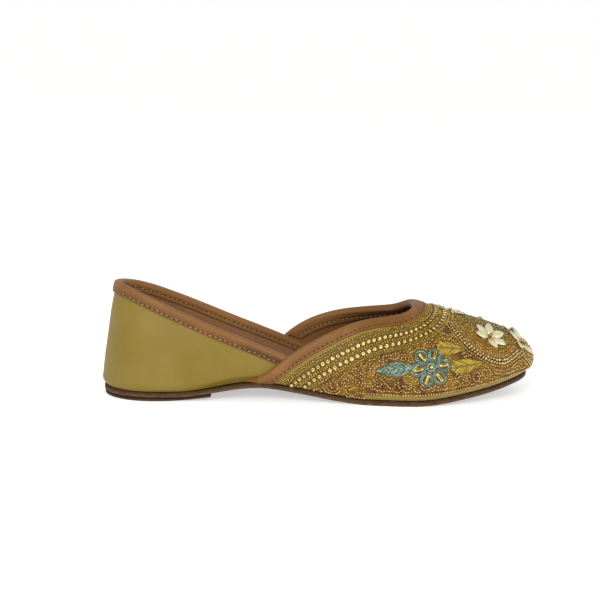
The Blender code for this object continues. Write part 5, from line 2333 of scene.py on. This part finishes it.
@dataclass
class Dye:
    """Colours of the ground cloth, zone by zone."""

    work: Needlework
    motif: ToeMotif
    strip: Colour = (0.270, 0.185, 0.032)
    border: Colour = (0.140, 0.090, 0.010)
    ground: Colour = (0.225, 0.128, 0.001)
    orange: Colour = (0.135, 0.060, 0.001)
    hem: Colour = (0.255, 0.175, 0.026)
    grey: Colour = (0.140, 0.095, 0.022)
    warm: Colour = (0.260, 0.135, 0.006)
    teal: Colour = (0.075, 0.075, 0.022)
    flower_reach: float = 0.0095
    hem_width: float = 0.0039
    border_width: float = 0.0208
    strip_width: float = 0.0068

    def build(self, data: bpy.types.Mesh, flower: TealFlower) -> None:
        """Write the colours and where the cloth is worked with satin stitches.

        Args:
            data: the vamp's mesh.
            flower: the teal flower, whose ground is dark.
        """
        drape = self.work.drape
        numbers = corner_numbers(data)
        rise, throat = drape.flat_rise[numbers], drape.flat_throat[numbers]
        climb = drape.flat_climb[numbers]
        share = drape.form.share_of(drape.flat_turn[numbers])
        places = drape.flat_places[numbers]
        chance = np.random.default_rng(5)
        cloud = np.zeros(len(numbers))
        for _ in range(10):
            way = unit(chance.normal(size=3))
            cloud += np.sin(places @ way * chance.uniform(350, 900) + chance.uniform(0, 6.3))
        part = ease(0.38 + cloud / 5)[:, None]
        colour = np.array(self.ground) * (1 - part) + np.array(self.orange) * part
        worked = np.ones(len(numbers))

        def paint(mask: Array, shade: Colour, plain: float) -> None:
            nonlocal colour, worked
            strength = np.clip(mask, 0, 1)
            colour = colour * (1 - strength[:, None]) + np.array(shade) * strength[:, None]
            worked = worked * (1 - strength) + plain * strength

        inside = self.motif.inside(share, climb).astype(float)
        paint(inside, self.warm, 0.7)
        paint(inside * ease((climb - 0.55) / 0.2) * ease((share - 0.87) / 0.05), self.grey, 0.3)
        for side in (-1, 1):
            middle = np.array(place_of(drape.form, *flower.middle, side))
            away = np.linalg.norm(places - middle, axis=1)
            paint(1 - ease((away - self.flower_reach) / 0.002), self.teal, 0.1)
            tip = np.array(place_of(drape.form, *flower.leaf_tip, side))
            base = np.array(place_of(drape.form, *flower.leaf_base, side))
            along = np.clip(((places - tip) @ (base - tip)) / ((base - tip) @ (base - tip)), 0, 1)
            off = np.linalg.norm(places - tip - along[:, None] * (base - tip), axis=1)
            wide = flower.leaf_half_width * np.sin(np.pi * along) ** 0.8
            paint(1 - ease((off - wide * 0.8) / 0.0012), self.teal, 0.1)
        hem = (1 - ease((rise - self.hem_width) / 0.0006)) * ease((share - 0.585) / 0.02)
        paint(hem, self.hem, 0.0)
        paint(1 - ease((throat - self.border_width) / 0.0012), self.border, 0.15)
        rear = 0.0018 * (1 - ease((share - 0.40) / 0.08))
        paint(1 - ease((throat - self.strip_width - rear) / 0.0006), self.strip, 0.0)
        point_attribute(data, "dye", np.concatenate([colour, np.ones((len(colour), 1))], 1))
        point_attribute(data, "worked", worked)


@dataclass
class StitchRun:
    """Needle holes, drawn as near-black dots of painted shade, and thread along a binding."""

    field: EdgeField
    name: str
    width: Array
    face: Array
    pitch: float = 0.0029
    hole: float = 0.00075
    thread: float = 0.00042
    thread_share: float = 0.62
    slant: float = 0.00028
    least_width: float = 0.0030
    turned: bool = False

    def build(self, holes: bpy.types.Material, thread: bpy.types.Material | None) -> None:
        """Set the holes' dots of painted shade and sew the thread.

        Args:
            holes: finish of the holes, a near-black painted shade.
            thread: finish of the thread, where it shows.
        """
        total = self.field.lengths[-1]
        stops = np.arange(1, int(total / self.pitch)) * self.pitch
        column = self.field.column_at(stops)
        index = np.arange(len(self.width), dtype=float)
        width = np.interp(column, index, self.width)
        face = np.interp(column, index, self.face)
        kept = width > self.least_width
        column, width, face, stops = column[kept], width[kept], face[kept], stops[kept]
        sign = -1.0 if self.turned else 1.0
        points, normals = self.field.place(column, width, face - sign * 0.00022)
        ahead, behind = (self.field.place(column + way, width, face)[0] for way in (0.5, -0.5))
        runs = ahead - behind
        lot = Copies(round_bead(8, 4))
        lot.add(points, runs, normals * sign, (self.hole, self.hole * 0.85, self.hole * 0.5))
        add_piece(lot.data(self.name + "_holes"), self.name + "_holes", holes)
        if thread is None:
            return
        middle = self.field.column_at(stops + self.pitch / 2)
        flip = np.where(np.arange(len(stops)) % 2 == 0, 1.0, -1.0)
        points, normals = self.field.place(middle, width + self.slant * flip, face + sign * 0.00004)
        start = self.field.place(self.field.column_at(stops), width, face)[0]
        after = self.field.column_at(stops + self.pitch)
        end = self.field.place(after, width + self.slant * 2 * flip, face)[0]
        lot = Copies(thread_bit())
        lot.add(
            points, end - start, normals * sign,
            (self.pitch * self.thread_share, self.thread, self.thread),
        )
        add_piece(lot.data(self.name + "_thread"), self.name + "_thread", thread)


# Studio

@dataclass
class Studio:
    """Plain pale floor, soft light and the camera at the photograph's angle."""

    elevation: float = 10.5
    azimuth: float = -3.0
    distance: float = 0.65
    roll: float = 0.85
    target: tuple[float, float, float] = (0.0, 0.0, 0.0285)
    lens: float = 67.1
    sensor: float = 36.0
    shift_x: float = -0.034
    shift_y: float = 0.071
    floor_radius: float = 1.1
    sweep: float = 2.6
    floor_colour: Colour = (0.80, 0.797, 0.79)

    def build(self) -> None:
        """Build the whole studio."""
        self.build_camera()
        self.build_floor()
        self.build_lights()
        settings = bpy.context.scene.view_settings
        settings.view_transform = "Standard"
        settings.look = "None"

    def build_camera(self) -> None:
        """Set up the camera."""
        data = bpy.data.cameras.new("camera")
        data.lens = self.lens
        data.sensor_width = self.sensor
        data.shift_x = self.shift_x
        data.shift_y = self.shift_y
        camera = add_object("camera", data)
        rise, way = math.radians(self.elevation), math.radians(self.azimuth)
        back = Vector(
            (math.sin(way) * math.cos(rise), -math.cos(way) * math.cos(rise), math.sin(rise))
        )
        camera.location = Vector(self.target) + back * self.distance
        turn = (-back).to_track_quat("-Z", "Y").to_matrix()
        tilt = Matrix.Rotation(math.radians(self.roll), 3, "Z")
        camera.rotation_euler = (turn @ tilt).to_euler()
        bpy.context.scene.camera = camera

    def build_floor(self) -> None:
        """Lay a pale floor that curves up far from the shoe, on all sides."""
        mesh = bmesh.new()
        bmesh.ops.create_circle(mesh, cap_ends=True, segments=72, radius=self.floor_radius)
        for step in range(1, 17):
            rim = [edge for edge in mesh.edges if edge.is_boundary]
            pulled = bmesh.ops.extrude_edge_only(mesh, edges=rim)["geom"]
            corners = [part for part in pulled if isinstance(part, bmesh.types.BMVert)]
            angle = math.radians(5 * step)
            radius = self.floor_radius + self.sweep * math.sin(angle)
            for corner in corners:
                way = Vector((corner.co.x, corner.co.y, 0)).normalized()
                corner.co = way * radius
                corner.co.z = self.sweep * (1 - math.cos(angle))
        data = to_data(mesh, "floor", sharp=180)
        recipe = Recipe(
            "floor_paper", self.floor_colour, 0.9, Specular_IOR_Level=0.1, Emission_Strength=0.60
        )
        recipe.shader.inputs["Emission Color"].default_value = (*self.floor_colour, 1.0)
        data.materials.append(recipe.material)
        add_object("floor", data)

    def add_light(
        self, name: str, place: tuple, aim: tuple, size: float, power: float, colour: Colour
    ) -> None:
        """Add a soft square light.

        Args:
            name: the light's name.
            place: where it hangs.
            aim: the point that it shines on.
            size: length of its side.
            power: its watts.
            colour: its colour.
        """
        data = bpy.data.lights.new(name, "AREA")
        data.shape = "SQUARE"
        data.size = size
        data.energy = power
        data.color = colour
        light = add_object(name, data)
        light.location = place
        way = Vector(aim) - Vector(place)
        light.rotation_euler = way.to_track_quat("-Z", "Y").to_euler()

    def build_lights(self) -> None:
        """Hang a large soft key light, two fills and an even pale sky."""
        self.add_light("key_light", (-0.45, -1.3, 0.80), (0, 0, 0.02), 0.8, 13, (1.0, 0.985, 0.96))
        self.add_light("fill_light", (0.9, -1.3, 0.6), (0, 0, 0.03), 0.9, 6, (1.0, 0.99, 0.98))
        self.add_light("back_light", (0.2, 1.3, 1.1), (0, 0, 0.03), 1.0, 2.0, (0.98, 0.99, 1.0))
        world = bpy.data.worlds.new("pale_sky")
        world.use_nodes = True
        sky = world.node_tree.nodes["Background"]
        sky.inputs["Color"].default_value = (0.97, 0.98, 1.0, 1.0)
        sky.inputs["Strength"].default_value = 0.40
        bpy.context.scene.world = world


def make_form() -> LastForm:
    """Return the last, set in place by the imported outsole's box."""
    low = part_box("outsole")[0]
    form = LastForm(heel_end=low.x, middle_y=0.0)
    plan = form.plan_point(np.linspace(-1, 1, 2001))
    form.middle_y = low.y - float(plan[:, 1].min())
    return form


def needlework(form: LastForm, upper: Upper, edge: EdgeField, vamp: bpy.types.Mesh) -> None:
    """Sew the ornament on the vamp.

    Args:
        form: the last.
        upper: the upper.
        edge: the field of the throat's edge.
        vamp: the mesh of the vamp's cloth.
    """
    drape = Drape(form, upper, edge)
    sequin, rim = marquise()
    work = Needlework(
        drape, Taken(), seeds=Copies(round_bead()), copper=Copies(round_bead()),
        gold=Copies(domed_bead()), silver=Copies(domed_bead(7)),
        bugles=Copies(bugle_bead(10)), teal=Copies(bugle_bead(6)), pale_teal=Copies(bugle_bead(6)),
        silk=Copies(thread_bit()), vein=Copies(thread_bit()), sequins=Copies(sequin, rim),
        grey=Copies(round_bead()), dark=Copies(thread_bit()),
    )
    motif = ToeMotif(work)
    flower = TealFlower(work)
    ThroatBorder(work).build()
    motif.build()
    SequinFlowers(work).build()
    flower.build()
    SilkLeaves(work).build()
    Vermicelli(work, motif).build()
    Dye(work, motif).build(vamp, flower)
    finishes = {
        "seeds": BeadFinish(
            "pale_gold_seeds", (0.56, 0.385, 0.085), (0.32, 0.20, 0.026), 0.28, 0.75
        ),
        "copper": BeadFinish(
            "copper_gold_seeds", (0.64, 0.40, 0.150), (0.36, 0.195, 0.030), 0.26, 0.55
        ),
        "grey": BeadFinish(
            "grey_green_seeds", (0.42, 0.33, 0.11), (0.20, 0.145, 0.035), 0.27, 0.75
        ),
        "gold": BeadFinish("gold_beads", (0.64, 0.48, 0.20), (0.46, 0.33, 0.11), 0.20, 0.95),
        "silver": BeadFinish("silver_beads", (0.66, 0.54, 0.30), (0.34, 0.25, 0.10), 0.18, 0.95),
        "bugles": BeadFinish("gold_bugles", (0.66, 0.48, 0.14), (0.48, 0.33, 0.08), 0.22, 0.80),
        "teal": BeadFinish(
            "teal_glass", (0.080, 0.110, 0.065), (0.13, 0.20, 0.14), 0.16, 0.0, coat=0.6
        ),
        "pale_teal": BeadFinish(
            "pale_teal_glass", (0.26, 0.38, 0.30), (0.11, 0.18, 0.13), 0.15, 0.0, coat=0.6
        ),
        "silk": ThreadFinish("yellow_silk", (0.50, 0.36, 0.008), (0.27, 0.175, 0.004), 0.42),
        "vein": ThreadFinish("dark_gold_silk", (0.22, 0.12, 0.008), (0.14, 0.075, 0.006), 0.5),
        "dark": ThreadFinish("slit_shade", (0.030, 0.014, 0.005), (0.045, 0.022, 0.006), 0.6),
        "sequins": SequinFinish(
            "clear_sequin", (0.62, 0.56, 0.24), (0.80, 0.45, 0.45), (0.42, 0.66, 0.55)
        ),
    }
    for key, finish in finishes.items():
        name = finish.name
        add_piece(getattr(work, key).data(name), name, finish.make())


def quarter_strip(form: LastForm) -> Binding:
    """Return the quarter's strip, whose inner leaf narrows where the insole is near."""
    turns = form.edge_turns(
        Topline.QUARTER, form.quarter_end[-1], form.quarter_end[1], STRIP_SPACING
    )
    edge_field = EdgeField(form, Topline.QUARTER, turns, reach=0.0110)
    edge = edge_field.points[:, 0]
    depth = form.tuck(edge[:, 0])
    room = edge[:, 2] - form.sole_top(edge[:, 0]) - form.insole_thickness - 4 * form.gap
    return Binding(
        form, "quarter_binding", edge_field,
        outer_width=np.full(len(turns), 0.0054),
        inner_width=np.clip(room * 0.8, LEAST_LEAF, 0.0048),
        outer_face=-depth,
        inner_face=-depth - form.quarter_wall,
        stitch_inset=0.0012,
        inner_stitch_inset=0.0021,
        # Painted shade on the outer leaf, stronger towards the front.
        outer_shade=0.30 + 0.60 * ease((form.share_of(turns) - 0.26) / 0.14),
        inner_shade=0.0 * depth,
    )


def vamp_strip(form: LastForm) -> Binding:
    """Return the vamp's strip, whose inner leaf keeps clear of the quarter's strip."""
    tip = form.throat_tip
    inner = form.edge_turns(Topline.VAMP, form.vamp_end[1], tip, STRIP_SPACING)
    outer = form.edge_turns(Topline.VAMP, -tip, form.vamp_end[-1], STRIP_SPACING)
    turns = np.concatenate([inner, outer[1:]])
    edge_field = EdgeField(form, Topline.VAMP, turns, reach=0.0260)
    front = ease((form.share_of(turns) - 0.62) / 0.1)
    room = edge_field.reach(edge_field.levels - 0.004)
    outer_width = np.maximum(np.minimum(0.0057 + 0.0014 * front, room - 0.0003), LEAST_LEAF)
    places = edge_field.points[:, :20]
    rows = np.broadcast_to(turns[:, None], places.shape[:2])
    over = places[..., 2] - form.edge_height(Topline.QUARTER, rows, places[..., 0])
    clear = edge_field.reach(over - 0.0019)
    flat = np.zeros(len(turns))
    return Binding(
        form, "vamp_binding", edge_field,
        outer_width=outer_width,
        inner_width=np.maximum(soft_least(clear, 0.0068, 0.0003), LEAST_LEAF),
        outer_face=flat,
        inner_face=flat - form.vamp_wall,
        stitch_inset=0.0016,
        inner_stitch_inset=0.0026,
        outer_shade=flat,
        # Painted shade on the inside face, deepening towards the toe, deep inside the shoe.
        inner_shade=0.95 * ease((form.share_of(turns) - 0.50) / 0.16),
    )


def leaf_stitches(
    strip: Binding, name: str, inside: bool, least_width: float, hole: float = 0.00075
) -> StitchRun:
    """Return the stitches of one leaf of a strip.

    Args:
        strip: the strip.
        name: start of the pieces' names.
        inside: whether the leaf lies inside the shoe.
        least_width: width of the leaf below which there are no stitches.
        hole: width of a needle hole.

    Returns:
        The stitches, not yet built.
    """
    leather = strip.form.binding_leather + strip.form.cover_gap
    if inside:
        width, face = strip.inner_width - strip.inner_stitch_inset, strip.inner_face - leather
    else:
        width, face = strip.outer_width - strip.stitch_inset, strip.outer_face + leather
    return StitchRun(
        strip.field, name, width, face, hole=hole, least_width=least_width, turned=inside
    )


def sew_strips(quarter: Binding, vamp: Binding) -> None:
    """Sew both strips; the vamp's outer thread is sunk, so only its holes show."""
    # The needle holes are near-black dots: painted shade inside each hole.
    holes = Recipe("needle_hole_shade", (0.030, 0.012, 0.005), 0.8).material
    thread = ThreadFinish("stitch_thread", (0.42, 0.25, 0.12), (0.24, 0.12, 0.05), 0.7).make()
    leaf_stitches(quarter, "quarter_stitches", False, 0.0030).build(holes, thread)
    leaf_stitches(quarter, "quarter_facing_stitches", True, 0.0022).build(holes, thread)
    leaf_stitches(vamp, "vamp_stitches", False, 0.0039, hole=0.0009).build(holes, None)
    leaf_stitches(vamp, "vamp_facing_stitches", True, 0.0012).build(holes, thread)


def make_leathers() -> dict[str, bpy.types.Material]:
    """Return the finishes of all pieces but the ornament, by name."""
    finishes = (
        SoleFinish(
            "outsole_leather", (0.040, 0.018, 0.005), (0.024, 0.010, 0.002),
            (0.14, 0.075, 0.035), 0.66, 0.08,
        ),
        SoleFinish(
            "heel_lift_leather", (0.031, 0.016, 0.006), (0.020, 0.009, 0.003),
            (0.085, 0.05, 0.028), 0.72, 0.10,
        ),
        SmoothLeather(
            "quarter_leather", (0.200, 0.138, 0.021), (0.186, 0.126, 0.016),
            (0.218, 0.154, 0.030), 0.46,
        ),
        SmoothLeather(
            "binding_leather", (0.185, 0.080, 0.018), (0.152, 0.064, 0.012),
            (0.275, 0.130, 0.044), 0.50, cloud=0.03,
        ),
        SmoothLeather(
            "lining_leather", (0.260, 0.124, 0.052), (0.225, 0.104, 0.042),
            (0.290, 0.145, 0.064), 0.60, cloud=0.018, spots=0.3,
        ),
        # A darker copy of the lining leather: painted shade for the inside of the toe.
        SmoothLeather(
            "vamp_lining_painted_shade", (0.200, 0.085, 0.025), (0.150, 0.060, 0.018),
            (0.250, 0.115, 0.040), 0.62, cloud=0.018, spots=0.3,
        ),
        SmoothLeather(
            "insole_leather", (0.230, 0.110, 0.050), (0.160, 0.072, 0.030),
            (0.290, 0.150, 0.075), 0.58, cloud=0.030, spots=0.6,
        ),
        EmbroideredCloth("vamp_cloth", (0.30, 0.18, 0.03), 0.62),
    )
    return {finish.name: finish.make() for finish in finishes}


def main() -> None:
    """Build the shoe piece by piece, then the studio."""
    logging.basicConfig(level=logging.INFO, format="%(message)s")
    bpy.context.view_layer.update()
    form = make_form()
    leathers = make_leathers()

    sole = Sole(form)
    sole.build_outsole(leathers["outsole_leather"])
    sole.build_lift(leathers["heel_lift_leather"])
    sole.build_insole(leathers["insole_leather"])
    upper = Upper(form)
    upper.build_quarter(leathers["quarter_leather"], leathers["lining_leather"])
    vamp = upper.build_vamp(leathers["vamp_cloth"], leathers["vamp_lining_painted_shade"])
    upper.build_wing_tips(leathers["binding_leather"])

    strips = (quarter_strip(form), vamp_strip(form))
    for strip in strips:
        strip.build(leathers["binding_leather"])
    needlework(form, upper, strips[1].field, vamp)
    sew_strips(*strips)

    Studio().build()


if __name__ == "__main__":
    main()
